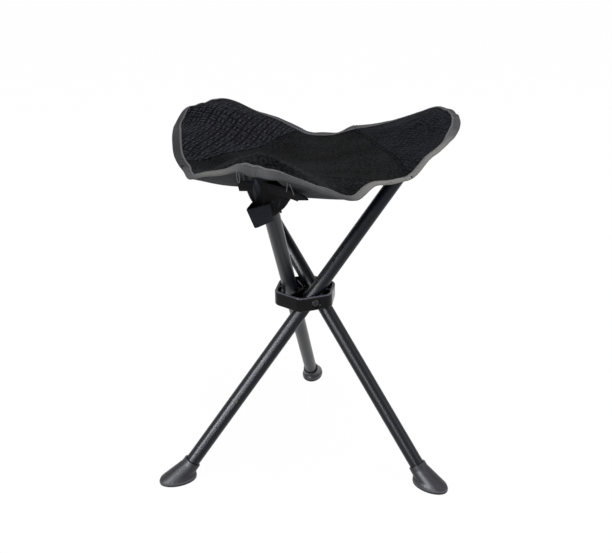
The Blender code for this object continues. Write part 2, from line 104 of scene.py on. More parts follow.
# %% Node helpers
WHITE = (1.0, 1.0, 1.0, 1.0)


def feed(tree, socket, value):
    """Link an output to an input, or set a plain value on it."""
    if isinstance(value, bpy.types.NodeSocket):
        tree.links.new(value, socket)
    else:
        socket.default_value = value


def blank_tree(owner):
    """The emptied node tree of a world or a material."""
    owner.use_nodes = True
    owner.node_tree.nodes.clear()
    return owner.node_tree


def add_node(tree, kind, settings=None, **sockets):
    """A node with its settings, and values or links on its inputs, which go by name, or by i and a number."""
    made = tree.nodes.new(kind)
    for name, value in (settings or {}).items():
        setattr(made, name, value)
    for name, value in sockets.items():
        feed(tree, made.inputs[int(name[1:]) if name.startswith("i") else name.replace("_", " ")], value)
    return made


def calculate(tree, operation, *values):
    """Result of a Math node."""
    sockets = {f"i{k}": value for k, value in enumerate(values)}
    return add_node(tree, "ShaderNodeMath", {"operation": operation}, **sockets).outputs[0]


def white_light(tree, kind, strength):
    return add_node(tree, kind, Color=WHITE, Strength=strength).outputs[0]


def either(tree, share, one, two):
    """The first shader where the share is nought, and the second where it is one."""
    return add_node(tree, "ShaderNodeMixShader", i0=share, i1=one, i2=two).outputs[0]


def seen_directly(tree):
    """One where a ray comes from the camera, a reflection or glass, and nought for plain light."""
    path = tree.nodes.new("ShaderNodeLightPath").outputs
    mirrored = calculate(tree, "MAXIMUM", path["Is Camera Ray"], path["Is Glossy Ray"])
    return calculate(tree, "MAXIMUM", mirrored, path["Is Transmission Ray"])


# %% World and floor
WORLD_LIGHT = 0.55
FLOOR_HALF = 14.0
FLOOR_DROP = 0.0003
FLOOR_COLOUR = (0.90, 0.90, 0.90, 1.0)
FLOOR_GLOW = 1.02
FLOOR_LIFT = 0.02
FLOOR_SHARE = 0.95

world = bpy.data.worlds.new("studio")
scene.world = world
tree = blank_tree(world)
dim = white_light(tree, "ShaderNodeBackground", WORLD_LIGHT)
bright = white_light(tree, "ShaderNodeBackground", 1.0)
add_node(tree, "ShaderNodeOutputWorld", Surface=either(tree, seen_directly(tree), dim, bright))

paper = bpy.data.materials.new("floor_paper")
tree = blank_tree(paper)
plain = add_node(tree, "ShaderNodeBsdfDiffuse", Color=FLOOR_COLOUR).outputs[0]
glow = white_light(tree, "ShaderNodeEmission", FLOOR_GLOW)
lift = white_light(tree, "ShaderNodeEmission", FLOOR_LIFT)
clear = add_node(tree, "ShaderNodeBsdfTransparent", Color=WHITE).outputs[0]
through = add_node(tree, "ShaderNodeAddShader", i0=clear, i1=lift).outputs[0]
to_camera = tree.nodes.new("ShaderNodeLightPath").outputs["Is Camera Ray"]
share = calculate(tree, "MULTIPLY", seen_directly(tree), FLOOR_SHARE)
shown = either(tree, share, plain, either(tree, to_camera, glow, through))
add_node(tree, "ShaderNodeOutputMaterial", Surface=shown)

floor_mesh = bpy.data.meshes.new("floor")
corners = [(x * FLOOR_HALF, y * FLOOR_HALF, 0.0) for x, y in ((-1, -1), (1, -1), (1, 1), (-1, 1))]
floor_mesh.from_pydata(corners, [], [(0, 1, 2, 3)])
floor_mesh.materials.append(paper)
floor = bpy.data.objects.new("floor", floor_mesh)
floor.location.z = -FLOOR_DROP
scene.collection.objects.link(floor)
print("floor", 2 * FLOOR_HALF, "m wide")

# %% Lamps
GLINT_COLOUR = (0.90, 0.94, 1.0)


def soft_box(name, spot, aim, size, watts, along=(0.0, 0.0, 1.0), glint=False):
    """A flat lamp aimed at a spot. A glint shows in reflections only and adds no light to dull surfaces."""
    lamp = bpy.data.lights.new(name, "AREA")
    lamp.shape = "RECTANGLE"
    lamp.size, lamp.size_y = size
    lamp.energy = watts
    lamp.color = GLINT_COLOUR if glint else WHITE[:3]
    box = bpy.data.objects.new(name, lamp)
    scene.collection.objects.link(box)
    back = (Vector(spot) - Vector(aim)).normalized()
    wide = Vector(along).cross(back).normalized()
    box.matrix_world = posed(spot, wide, back.cross(wide), back)
    box.visible_diffuse = not glint


soft_box("left_line", (-1.12, -1.02, 1.08), (0.0, 0.0, 0.03), size=(0.12, 1.75), watts=44.0, glint=True)
soft_box("left_low", (-1.30, -1.38, 0.61), (-0.08, -0.06, 0.08), size=(0.12, 0.7), watts=35.0, glint=True)
soft_box("front_line", (-0.44, -1.25, 0.42), (0.06, -0.05, 0.12), size=(0.10, 0.9), watts=14.0,
         along=(-0.5, 0.4, 0.77), glint=True)
soft_box("top_box", (0.2, -0.4, 2.2), (0.0, 0.0, 0.3), size=(1.2, 1.2), watts=18.0)
soft_box("right_box", (1.6, -0.6, 0.9), (0.0, 0.0, 0.2), size=(0.8, 1.2), watts=7.0)

# %% [markdown]
# Every leg has its own directions: e along its rivet, d up along its tube, and n square to both, on the
# side that looks at the seat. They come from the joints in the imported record, so the cloth follows the
# solids.

# %% Leg directions
SPREAD = math.radians(39.4)
PIVOT_RADIUS = 0.0158
TUBE_TOP = 0.2315
SEAT_TIP_HEIGHT = 0.3883
UP = Vector((0.0, 0.0, 1.0))


class Leg:
    """Pivot and directions of one leg."""

    def __init__(self, joint):
        self.joint = joint["name"]
        self.body = joint["child"]
        self.pivot = Vector(joint["pos_m"])
        self.e = Vector(joint["axis"]).normalized()
        self.t = UP.cross(self.e)
        self.d = self.t * math.sin(SPREAD) + UP * math.cos(SPREAD)
        self.n = UP * math.sin(SPREAD) - self.t * math.cos(SPREAD)

    def spot(self, e, n, d):
        return self.pivot + self.e * e + self.n * n + self.d * d


legs = {joint["child"][-1]: Leg(joint) for joint in frame["joints"]}
HUB_AXIS = legs["a"].pivot - legs["a"].e * PIVOT_RADIUS
for leg in legs.values():
    leg.tip = leg.spot(0.0, 0.0, TUBE_TOP)
    flat = leg.tip - HUB_AXIS
    leg.azimuth = math.atan2(flat.y, flat.x)
    leg.out = Vector((math.cos(leg.azimuth), math.sin(leg.azimuth), 0.0))
    leg.across = UP.cross(leg.out)
    print(leg.body, "corner at", round(math.degrees(leg.azimuth), 1), "degrees")

# %% [markdown]
# Finishes come next. Cloth is drawn from a map in metres that follows the sheet, hard parts from their own
# coordinates. Each finish mixes a colour with its variation, and drives roughness and bump from the same
# pattern.

# %% Finish helpers
WEAVE = "weave"
# Most of a noise pattern lies between these levels
NOISE_RANGE = (0.3, 0.7)


def shade(red, green, blue):
    """A screen colour from 0 to 255 as the linear colour that a shader takes."""
    made = []
    for value in (red, green, blue):
        value /= 255.0
        made.append(value / 12.92 if value <= 0.04045 else ((value + 0.055) / 1.055) ** 2.4)
    return (*made, 1.0)


class Finish:
    """A material with short ways to chain its pattern nodes."""

    def __init__(self, name, specular=0.5, roughness=0.5, metallic=0.0):
        self.made = bpy.data.materials.new(name)
        self.made.use_nodes = True
        self.tree = self.made.node_tree
        self.inputs = self.tree.nodes["Principled BSDF"].inputs
        self.inputs["Specular IOR Level"].default_value = specular
        self.inputs["Roughness"].default_value = roughness
        self.inputs["Metallic"].default_value = metallic

    def add(self, kind, settings=None, **sockets):
        return add_node(self.tree, kind, settings, **sockets)

    def math(self, operation, *values):
        return calculate(self.tree, operation, *values)

    def wave(self, operation, value):
        """Sine or cosine of a value that counts half turns."""
        return self.math(operation, self.math("MULTIPLY", value, math.pi))

    def mean(self, *weighted):
        """Sum of values, each times its weight."""
        total = None
        for value, weight in weighted:
            part = self.math("MULTIPLY", value, weight)
            total = part if total is None else self.math("ADD", total, part)
        return total

    def gap(self, value, level):
        """How far a value is from a level."""
        return self.math("ABSOLUTE", self.math("SUBTRACT", value, level))

    def place(self, uv=None, scale=(1.0, 1.0, 1.0)):
        """Pattern coordinates from the object, or from a named map, with a scale on each axis."""
        if uv is None:
            source = self.add("ShaderNodeTexCoord").outputs["Object"]
        else:
            source = self.add("ShaderNodeUVMap", {"uv_map": uv}).outputs["UV"]
        return self.add("ShaderNodeMapping", Vector=source, Scale=scale).outputs[0]

    def parts(self, vector):
        return self.add("ShaderNodeSeparateXYZ", Vector=vector).outputs

    def cells(self, pitch):
        """Both coordinates of the cloth's map, counted in steps of a pitch."""
        return self.parts(self.place(WEAVE, (1.0 / pitch, 1.0 / pitch, 1.0)))[:2]

    def noise(self, vector, scale, detail=3.0, roughness=0.55):
        sockets = {"Vector": vector, "Scale": scale, "Detail": detail, "Roughness": roughness}
        return self.add("ShaderNodeTexNoise", **sockets).outputs[0]

    def ramp(self, value, low, high, start=0.0, end=1.0):
        sockets = {"Value": value, "From_Min": low, "From_Max": high, "To_Min": start, "To_Max": end}
        return self.add("ShaderNodeMapRange", **sockets).outputs[0]

    def blend(self, share, one, two):
        return self.add("ShaderNodeMix", {"data_type": "RGBA"}, i0=share, i6=one, i7=two).outputs[2]

    def colour(self, value):
        feed(self.tree, self.inputs["Base Color"], value)

    def rough(self, value):
        feed(self.tree, self.inputs["Roughness"], value)

    def bump(self, height, distance, strength=1.0, rounding=None):
        made = self.add("ShaderNodeBump", Height=height, Distance=distance, Strength=strength)
        if rounding is not None:
            edge = self.add("ShaderNodeBevel", Radius=rounding)
            feed(self.tree, made.inputs["Normal"], edge.outputs[0])
        feed(self.tree, self.inputs["Normal"], made.outputs[0])


def threads(finish, pitch):
    """Height of a plain weave: warp and weft rise in turn, like a soft chequer of short threads."""
    u, v = finish.cells(pitch)
    over = finish.math("MULTIPLY", finish.wave("SINE", u), finish.wave("SINE", v))
    ribs = finish.math("ABSOLUTE", finish.wave("COSINE", u))
    return finish.mean((ribs, 0.4), (over, 0.6))


# %% Hard finishes
HUB_TOP = max(corner[2] for corner in frame["nodes"]["hub_ring"].bound_box)
# Height band and front band of the painted highlight on the hub's rim
HUB_HIGHLIGHT_FROM = HUB_TOP - 0.0012
HUB_HIGHLIGHT_TO = HUB_TOP - 0.0004
HUB_HIGHLIGHT_FRONT_FROM = -0.006
HUB_HIGHLIGHT_FRONT_TO = -0.014
# Painted shade over the foot's lowest millimetres, and the height of a painted highlight line above it
FLOOR_SHADE_TOP = 0.0034
FLOOR_SHADE_FULL = 0.0024
HIGHLIGHT_LINE_HEIGHT = 0.0044
SCUFF_TOP = 0.012


def hub_finish():
    """Glossy moulded plastic with faint handling haze, and a painted highlight along the front of its upper
    rim.
    """
    look = Finish("hub_gloss", specular=0.12)
    spot = look.place()
    haze = look.noise(spot, 90.0, 4.0)
    base = look.blend(haze, shade(4, 4, 6), shade(10, 10, 13))
    _, depth, height = look.parts(spot)
    # Painted highlight: the top of the rim, on the front, is mixed to a pale grey
    rim = look.ramp(height, HUB_HIGHLIGHT_FROM, HUB_HIGHLIGHT_TO)
    front = look.ramp(depth, HUB_HIGHLIGHT_FRONT_FROM, HUB_HIGHLIGHT_FRONT_TO)
    look.colour(look.blend(look.math("MULTIPLY", rim, front), base, shade(118, 117, 130)))
    look.rough(look.ramp(haze, 0.3, 0.75, 0.16, 0.26))
    look.bump(look.noise(spot, 500.0, 2.0), 0.00004, 0.4, rounding=0.0014)
    return look.made


def tube_finish():
    """Baked paint: a dark blue grey with a slight orange peel and worn, duller patches."""
    look = Finish("tube_paint", specular=0.2)
    spot = look.place()
    mottle = look.noise(spot, 45.0, 4.0)
    look.colour(look.blend(mottle, shade(7, 9, 17), shade(14, 17, 28)))
    look.rough(look.ramp(mottle, *NOISE_RANGE, 0.28, 0.34))
    look.bump(look.noise(spot, 900.0, 2.0), 0.00001, 0.1, rounding=0.0022)
    return look.made


def rubber_finish():
    """Rubber with a soft sheen, scuffed grey near the floor, with painted shade over its lowest few
    millimetres and a painted highlight line just above.
    """
    look = Finish("foot_rubber", specular=0.30)
    spot = look.place()
    grain = look.noise(spot, 700.0, 3.0)
    cloud = look.noise(spot, 60.0, 4.0)
    height = look.parts(spot)[2]
    scuff = look.math("MULTIPLY", look.ramp(height, SCUFF_TOP, 0.0, 0.0, 0.8), cloud)
    tone = look.math("ADD", look.math("MULTIPLY", cloud, 0.45), scuff)
    # Painted shade: darker toward the floor over the lowest few millimetres
    painted_floor_shade = look.ramp(height, FLOOR_SHADE_TOP, FLOOR_SHADE_FULL, 0.0, 0.7)
    # Painted highlight: a pale line round the foot just above the painted shade
    painted_highlight_line = look.ramp(look.gap(height, HIGHLIGHT_LINE_HEIGHT), 0.0010, 0.0004, 0.0, 0.4)
    base = look.blend(tone, shade(24, 23, 29), shade(58, 57, 66))
    base = look.blend(painted_highlight_line, base, shade(118, 116, 124))
    look.colour(look.blend(painted_floor_shade, base, shade(26, 25, 29)))
    look.rough(look.ramp(grain, *NOISE_RANGE, 0.36, 0.48))
    look.bump(grain, 0.00006, 0.4, rounding=0.0022)
    return look.made


def nylon_finish():
    """Dull nylon with a spark-eroded mould grain."""
    look = Finish("saddle_nylon")
    spot = look.place()
    grain = look.noise(spot, 1100.0, 2.0)
    look.colour(look.blend(look.noise(spot, 120.0), shade(20, 20, 23), shade(32, 32, 36)))
    look.rough(look.ramp(grain, *NOISE_RANGE, 0.42, 0.58))
    look.bump(grain, 0.00006, 0.5)
    return look.made


def rivet_finish():
    """Blackened steel, brighter where the black has rubbed off."""
    look = Finish("rivet_steel", metallic=0.3)
    spot = look.place()
    wear = look.ramp(look.noise(spot, 420.0, 4.0), 0.55, 0.75)
    look.colour(look.blend(wear, shade(8, 8, 10), shade(26, 26, 29)))
    look.rough(look.ramp(wear, 0.0, 1.0, 0.38, 0.25))
    look.bump(look.noise(spot, 900.0, 2.0), 0.00004, 0.4)
    return look.made


HARD_FINISHES = {
    "hub_ring": hub_finish(),
    "leg_tube": tube_finish(),
    "leg_cap": nylon_finish(),
    "pivot_rivet": rivet_finish(),
    "rubber_foot": rubber_finish(),
}
HARD_FINISHES["outer_saddle"] = HARD_FINISHES["leg_cap"]
HARD_FINISHES["inner_saddle"] = HARD_FINISHES["leg_cap"]
for name, node in frame["nodes"].items():
    kind = name if name in HARD_FINISHES else name.rsplit("_", 1)[0]
    if kind in HARD_FINISHES:
        node.data.materials.clear()
        node.data.materials.append(HARD_FINISHES[kind])
print("hard finishes", len(HARD_FINISHES))

# %% Cloth finishes
THREAD_PITCH = 0.0008
PRINT_CELL = 0.0090
# Shares of a cell: how far a dash lies off the middle, and where its side and its end fade out
DASH_OFFSET = 0.24
DASH_SIDE = (0.15, 0.09)
DASH_END = (0.42, 0.34)


def seat_finish():
    """Coated polyester cloth, nearly black, with a fine thread and a faint warm bloom."""
    look = Finish("seat_cloth", specular=0.02)
    weave = threads(look, THREAD_PITCH)
    plan = look.place(WEAVE)
    bloom = look.noise(plan, 16.0, 4.0)
    slub = look.noise(look.place(WEAVE, (180.0, 1400.0, 1.0)), 1.0, 3.0)
    mottle = look.noise(plan, 330.0, 2.0, 0.7)
    tone = look.mean((bloom, 0.3), (slub, 0.2), (mottle, 0.5))
    base = look.blend(look.ramp(tone, 0.44, 0.56), shade(2, 2, 3), shade(33, 34, 35))
    look.colour(look.blend(look.ramp(weave, 0.0, 1.0, 0.0, 0.3), base, shade(24, 24, 25)))
    look.rough(look.ramp(weave, 0.0, 1.0, 0.92, 0.80))
    look.bump(weave, 0.00018, 0.7)
    return look.made


def patch_finish(name, strength, dark, light):
    """The same cloth with short paired dashes printed on it, turned in every other square like basketwork."""
    look = Finish(name, specular=0.02)
    weave = threads(look, THREAD_PITCH)
    plan = look.place(WEAVE)
    bloom = look.noise(plan, 22.0, 4.0)
    across, up = look.cells(PRINT_CELL)
    u = look.math("SUBTRACT", look.math("FRACT", across), 0.5)
    v = look.math("SUBTRACT", look.math("FRACT", up), 0.5)
    square = look.math("ADD", look.math("FLOOR", across), look.math("FLOOR", up))
    odd = look.math("FLOORED_MODULO", square, 2.0)
    even = look.math("SUBTRACT", 1.0, odd)
    along = look.mean((u, odd), (v, even))
    wide = look.mean((v, odd), (u, even))
    inside = look.ramp(look.gap(look.math("ABSOLUTE", wide), DASH_OFFSET), *DASH_SIDE)
    reach = look.ramp(look.math("ABSOLUTE", along), *DASH_END)
    worn = look.ramp(look.noise(plan, 120.0, 3.0), 0.30, 0.62, 0.25, 1.0)
    dash = look.math("MULTIPLY", look.math("MULTIPLY", inside, reach), worn)
    mottle = look.mean((bloom, 0.4), (look.noise(plan, 330.0), 0.6))
    base = look.blend(look.ramp(mottle, 0.42, 0.58), dark, light)
    look.colour(look.blend(look.math("MULTIPLY", dash, strength), base, shade(58, 59, 66)))
    look.rough(look.ramp(dash, 0.0, 1.0, 0.86, 0.76))
    look.bump(look.math("ADD", weave, look.math("MULTIPLY", dash, 0.5)), 0.00018, 0.7)
    return look.made


def pocket_finish():
    """Thin coated nylon: black, with a painted cool sheen in long upright stripes."""
    look = Finish("pocket_cloth", specular=0.03)
    weave = threads(look, 0.0007)
    cloud = look.noise(look.place(WEAVE), 30.0, 4.0)
    base = look.blend(look.ramp(cloud, *NOISE_RANGE), shade(1, 1, 2), shade(5, 5, 7))
    # Painted sheen: stretched noise mixes a cool grey into the black
    painted_sheen = look.ramp(look.noise(look.place(WEAVE, (260.0, 34.0, 1.0)), 1.0, 3.0), 0.60, 0.70)
    look.colour(look.blend(painted_sheen, base, shade(56, 60, 78)))
    look.rough(look.ramp(cloud, *NOISE_RANGE, 0.42, 0.56))
    look.bump(weave, 0.00012, 0.6)
    return look.made


TAPE_WIDTH = 0.0090
TAPE_ROW = TAPE_WIDTH - 0.0018
TAPE_EDGE = TAPE_WIDTH - 0.0009
TAPE_RIB = 0.0011


def tape_finish():
    """Grey tape, ribbed across, dirty in patches, pale along the sewn edge, with painted light and painted
    shade in stretches along the hem.
    """
    look = Finish("binding_tape", specular=0.12)
    run = look.parts(look.place(WEAVE, (1.0 / TAPE_RIB, 1.0, 1.0)))[0]
    rib = look.math("ABSOLUTE", look.wave("SINE", run))
    plan = look.place(WEAVE)
    cloud = look.noise(plan, 40.0, 4.0)
    pale = look.ramp(look.gap(look.parts(plan)[1], TAPE_EDGE), 0.0010, 0.0004)
    fade = look.add("ShaderNodeAttribute", {"attribute_name": "fade"}).outputs["Fac"]
    base = look.blend(look.ramp(cloud, *NOISE_RANGE), shade(66, 66, 69), shade(96, 96, 98))
    # Painted light and shade: paler stretches above nought, darker ones below
    base = look.blend(look.ramp(fade, 0.0, 1.0), base, shade(150, 149, 145))
    base = look.blend(look.ramp(fade, 0.0, -1.0), base, shade(48, 48, 52))
    base = look.blend(look.math("MULTIPLY", rib, 0.4), base, shade(46, 46, 49))
    look.colour(look.blend(look.math("MULTIPLY", pale, 0.6), base, shade(112, 112, 113)))
    look.rough(look.ramp(rib, 0.0, 1.0, 0.7, 0.86))
    look.bump(rib, 0.00016, 0.6)
    return look.made


def lining_finish():
    """Grey lining cloth of the corners, plain woven."""
    look = Finish("lining_cloth", specular=0.1)
    weave = threads(look, THREAD_PITCH)
    cloud = look.noise(look.place(WEAVE), 60.0, 4.0)
    base = look.blend(look.ramp(cloud, *NOISE_RANGE), shade(35, 36, 39), shade(52, 53, 56))
    look.colour(look.blend(look.ramp(weave, 0.0, 1.0, 0.0, 0.3), base, shade(62, 62, 65)))
    look.rough(look.ramp(weave, 0.0, 1.0, 0.9, 0.78))
    look.bump(weave, 0.00015, 0.6)
    return look.made


CHEVRON = 0.0016


def webbing_finish(name, dark, light, thread):
    """Dark woven webbing with a chevron of thick threads."""
    look = Finish(name, specular=0.05)
    run, across = look.cells(CHEVRON)
    slant = look.math("ADD", run, look.math("PINGPONG", across, 2.0))
    rib = look.ramp(look.wave("SINE", slant), -1.0, 1.0)
    cloud = look.noise(look.place(WEAVE), 90.0, 4.0)
    base = look.blend(look.ramp(cloud, *NOISE_RANGE), dark, light)
    look.colour(look.blend(look.math("MULTIPLY", rib, 0.4), base, thread))
    look.rough(look.ramp(rib, 0.0, 1.0, 0.86, 0.7))
    look.bump(rib, 0.00025, 0.7)
    return look.made


def thread_finish(name, dark, light):
    """Twisted sewing thread."""
    look = Finish(name, specular=0.05, roughness=0.7)
    twist = look.noise(look.place(), 1500.0, 2.0)
    look.colour(look.blend(twist, dark, light))
    look.bump(twist, 0.0001, 0.5)
    return look.made


seat_cloth = seat_finish()
patch_cloth = {
    "a": patch_finish("patch_cloth_a", 0.32, shade(2, 2, 4), shade(30, 31, 36)),
    "b": patch_finish("patch_cloth_b", 0.12, shade(2, 2, 3), shade(33, 34, 35)),
    "c": patch_finish("patch_cloth_c", 0.80, shade(2, 2, 4), shade(25, 25, 29)),
}
pocket_cloth = pocket_finish()
binding_tape = tape_finish()
lining_cloth = lining_finish()
webbing = webbing_finish("webbing", shade(20, 22, 27), shade(33, 35, 41), shade(46, 48, 56))
# The strips inside the pockets get a much darker copy of the strap's webbing: painted shade under the seat
pocket_web = webbing_finish("pocket_web", shade(3, 3, 4), shade(10, 10, 13), shade(17, 17, 21))
pale_thread = thread_finish("pale_seam_thread", shade(30, 31, 38), shade(48, 49, 58))
dark_thread = thread_finish("dark_seam_thread", shade(2, 2, 3), shade(8, 8, 10))
seam_thread = {"a": dark_thread, "b": dark_thread, "c": pale_thread}
hem_thread = thread_finish("hem_thread", shade(98, 98, 99), shade(130, 129, 128))
print("finishes", len(bpy.data.materials))

# %% [markdown]
# The seat hangs like a sling: high over the three tube ends, low in the middle, with a hem that dips and
# kinks where the seams meet it. The hem's course was read off the picture against the solved camera. A
# thin-plate surface, which bends as little as it can through given points, fills the sheet between hem,
# tube ends and middle.

# %% Course of the hem
HEM_MM = [
    (166.0, 45.7, 386.5), (157.5, 75.0, 388.0), (150.6, 93.3, 384.5), (122.0, 105.0, 373.5),
    (101.0, 111.0, 366.5), (70.0, 119.0, 360.5), (56.0, 122.0, 358.5), (44.0, 126.0, 351.0),
    (25.0, 131.0, 350.0), (4.0, 136.0, 350.5), (-6.0, 138.5, 355.5), (-33.0, 146.0, 366.0),
    (-63.0, 153.0, 374.5), (-85.9, 155.0, 384.5), (-98.0, 143.0, 390.0), (-112.0, 128.5, 388.3),
    (-121.0, 119.4, 386.5), (-138.6, 101.6, 383.5), (-146.0, 86.0, 371.5), (-140.5, 32.3, 372.5),
    (-136.0, 0.0, 368.5), (-132.0, -20.0, 360.5), (-116.5, -66.0, 355.5), (-106.0, -108.0, 359.5),
    (-100.5, -131.0, 365.0), (-96.0, -149.0, 369.5), (-85.8, -153.3, 372.5), (-72.0, -157.0, 374.4),
    (-60.0, -160.0, 377.5), (-42.0, -164.8, 375.1), (-19.0, -170.8, 373.2), (-6.0, -174.1, 371.5),
    (6.8, -177.4, 368.7), (14.5, -174.0, 363.9), (22.0, -166.5, 359.0), (35.4, -153.0, 351.4),
    (48.4, -139.7, 347.1), (54.0, -134.0, 349.5), (63.5, -124.5, 355.0), (72.0, -116.0, 353.9),
    (90.0, -97.5, 351.0), (103.0, -84.4, 351.5), (113.3, -74.0, 358.3), (120.3, -67.0, 364.5),
    (132.5, -54.5, 369.8), (144.5, -40.0, 376.0), (158.5, -3.0, 376.8), (165.5, 21.5, 382.5),
]
HEM_STEP = 0.003
HEM_PARTS = 24
SEAT_CENTRE_HEIGHT = 0.3465
TIP_DISTANCE = 0.150
RIDGE_DISTANCE = 0.080
RIDGE_HEIGHT = {"a": 0.3580, "b": 0.3550, "c": 0.3520}


def smooth_loop(points, step):
    """Evenly stepped points on a smooth closed curve through the given ones, without overshoot."""
    made = []
    count = len(points)
    for k in range(count):
        p = [points[(k + j) % count] for j in (-1, 0, 1, 2)]
        knots = [0.0]
        for one, two in zip(p, p[1:]):
            knots.append(knots[-1] + math.sqrt(max(np.linalg.norm(two[:2] - one[:2]), 1e-9)))
        for share in np.linspace(0.0, 1.0, HEM_PARTS, endpoint=False):
            at = knots[1] + (knots[2] - knots[1]) * share
            level = list(p)
            for size in (1, 2, 3):
                after = []
                for j in range(len(level) - 1):
                    low, high = (knots[j], knots[j + size]) if size < 3 else knots[1:3]
                    after.append((level[j] * (high - at) + level[j + 1] * (at - low)) / (high - low))
                level = after
            made.append(level[0])
    made = np.array(made)
    gaps = np.linalg.norm(np.roll(made, -1, 0) - made, axis=1)
    run = np.concatenate(([0.0], np.cumsum(gaps)))
    ring = np.vstack((made, made[:1]))
    total = round(run[-1] / step)
    want = np.linspace(0.0, run[-1], total, endpoint=False)
    return np.stack([np.interp(want, run, ring[:, axis]) for axis in range(3)], 1)


centre = np.array((HUB_AXIS.x, HUB_AXIS.y))
hem_points = np.array(HEM_MM) / 1000.0
hem_points[:, :2] += centre
hem = smooth_loop(hem_points, HEM_STEP)
print("hem", len(hem), "points,", round(len(hem) * HEM_STEP, 3), "m round")

# %% Thin-plate sheet


def bend_kernel(one, two):
    gap = np.linalg.norm(one[:, None, :] - two[None, :, :], axis=2)
    return np.where(gap > 1e-9, gap ** 2 * np.log(np.maximum(gap, 1e-9)), 0.0)


pins = [tuple(spot) for spot in hem_points]
pins.append((centre[0], centre[1], SEAT_CENTRE_HEIGHT))
for letter, leg in legs.items():
    for distance, height in ((RIDGE_DISTANCE, RIDGE_HEIGHT[letter]), (TIP_DISTANCE, SEAT_TIP_HEIGHT)):
        spot = HUB_AXIS + leg.out * distance
        pins.append((spot.x, spot.y, height))
pins = np.array(pins)
PIN_SLACK = 1e-5
count = len(pins)
system = np.zeros((count + 3, count + 3))
system[:count, :count] = bend_kernel(pins[:, :2], pins[:, :2]) + PIN_SLACK * np.eye(count)
system[:count, count] = 1.0
system[:count, count + 1:] = pins[:, :2]
system[count:, :count] = system[:count, count:].T
weights = np.linalg.solve(system, np.concatenate((pins[:, 2], np.zeros(3))))

FOLD_HEIGHT = 0.0008
FOLD_REACH = 0.055
FOLD_CALM = 0.014
FOLD_COUNT = 9
FOLD_SHIFT = 1.7
UNEVEN = 0.0009
# Scale of the noise, its level and its share of the height
UNEVEN_WAVES = ((38.0, 3.1, 1.0), (110.0, 8.4, 0.35))
SLOPE_STEP = 0.0004


def drape(plan):
    """Height of the sheet's middle surface over points of the plan, with pull folds round each tube end."""
    plan = np.asarray(plan, float).reshape(-1, 2)
    height = bend_kernel(plan, pins[:, :2]) @ weights[:count]
    height += weights[count] + plan @ weights[count + 1:]
    for k, leg in enumerate(legs.values()):
        tip = np.array((leg.tip.x, leg.tip.y))
        gap = plan - tip
        far = np.linalg.norm(gap, axis=1)
        angle = np.arctan2(gap[:, 1], gap[:, 0])
        pull = np.exp(-(far / FOLD_REACH) ** 2) * (1.0 - np.exp(-(far / FOLD_CALM) ** 2))
        height += FOLD_HEIGHT * pull * np.cos(FOLD_COUNT * angle + FOLD_SHIFT * k)
    for scale, level, share in UNEVEN_WAVES:
        for k, spot in enumerate(plan):
            height[k] += UNEVEN * share * noise.noise(Vector((spot[0] * scale, spot[1] * scale, level)))
    return height


def drape_normals(plan):
    """Directions square to the sheet over points of the plan."""
    plan = np.asarray(plan, float).reshape(-1, 2)
    slopes = []
    for step in ((SLOPE_STEP, 0.0), (0.0, SLOPE_STEP)):
        slopes.append((drape(plan + step) - drape(plan - step)) / (2 * SLOPE_STEP))
    made = np.stack((-slopes[0], -slopes[1], np.ones(len(plan))), 1)
    return made / np.linalg.norm(made, axis=1)[:, None]


tip_heights = drape([leg.tip.xy for leg in legs.values()])
print("middle height", drape([centre]).round(4), "tips", tip_heights.round(4))

# %% [markdown]
# When the stool folds, the sheet bunches up along the three legs. A sheet can only flatten along one
# direction at a time, so it is cut into gores that fan out from each tube end, like the panels of an
# umbrella. At rest the gores share their edges and their normals, and the cuts don't show.

# %% Cut plan of the sheet
CELL = 0.0034
EDGE_CLEAR = 0.0014
LINE_CLEAR = 0.0009
GORE_TURN = math.pi / 3
GORE_BRANCH = 0.066
PAST_HEM = 0.22
PAST_CORNER = 0.21
SEAM_HALF = 0.2
GORE_SIDES = ("out_far", "out_near", "in_near", "in_far")


def stepped(one, two, step):
    """Even steps from one point to another."""
    one, two = np.array(one), np.array(two)
    parts = max(1, round(np.linalg.norm(two - one) / step))
    return [one + (two - one) * k / parts for k in range(parts + 1)]


def polar(azimuth, distance):
    return centre + distance * np.array((math.cos(azimuth), math.sin(azimuth)))


SEAMS = {"a": (-3.5, 0.0799), "b": (0.0, 0.0820), "c": (13.4, 0.0710)}
for letter, leg in legs.items():
    skew, leg.seam_distance = SEAMS[letter]
    leg.seam_azimuth = leg.azimuth + math.radians(skew)


def seam_line(leg, inset):
    """Two far points of the line that runs beside a leg's seam, an inset further out."""
    spot = polar(leg.seam_azimuth, leg.seam_distance + inset)
    width = SEAM_HALF * np.array((-math.sin(leg.seam_azimuth), math.cos(leg.seam_azimuth)))
    return spot - width, spot + width


def past_seam(plan, leg):
    """How far points of the plan lie outside a leg's seam."""
    out = np.array((math.cos(leg.seam_azimuth), math.sin(leg.seam_azimuth)))
    return (np.asarray(plan) - centre) @ out - leg.seam_distance


cut_lines = []
for leg in legs.values():
    tip = polar(leg.azimuth, TIP_DISTANCE)
    cut_lines.append((centre, polar(leg.azimuth + GORE_TURN, PAST_HEM)))
    cut_lines.append((centre, tip))
    cut_lines.append((tip, polar(leg.azimuth, PAST_CORNER)))
    for turn in (GORE_TURN, -GORE_TURN):
        cut_lines.append((tip, polar(leg.azimuth + turn, GORE_BRANCH)))
    cut_lines.append(seam_line(leg, 0.0))


def inside_hem(plan, ring):
    """True for points of the plan inside a closed ring."""
    x, y = plan[:, 0], plan[:, 1]
    made = np.zeros(len(plan), bool)
    for one, two in zip(ring, np.roll(ring, -1, 0)):
        crosses = (one[1] > y) != (two[1] > y)
        if crosses.any():
            at = one[0] + (y - one[1]) * (two[0] - one[0]) / (two[1] - one[1])
            made ^= crosses & (x < at)
    return made


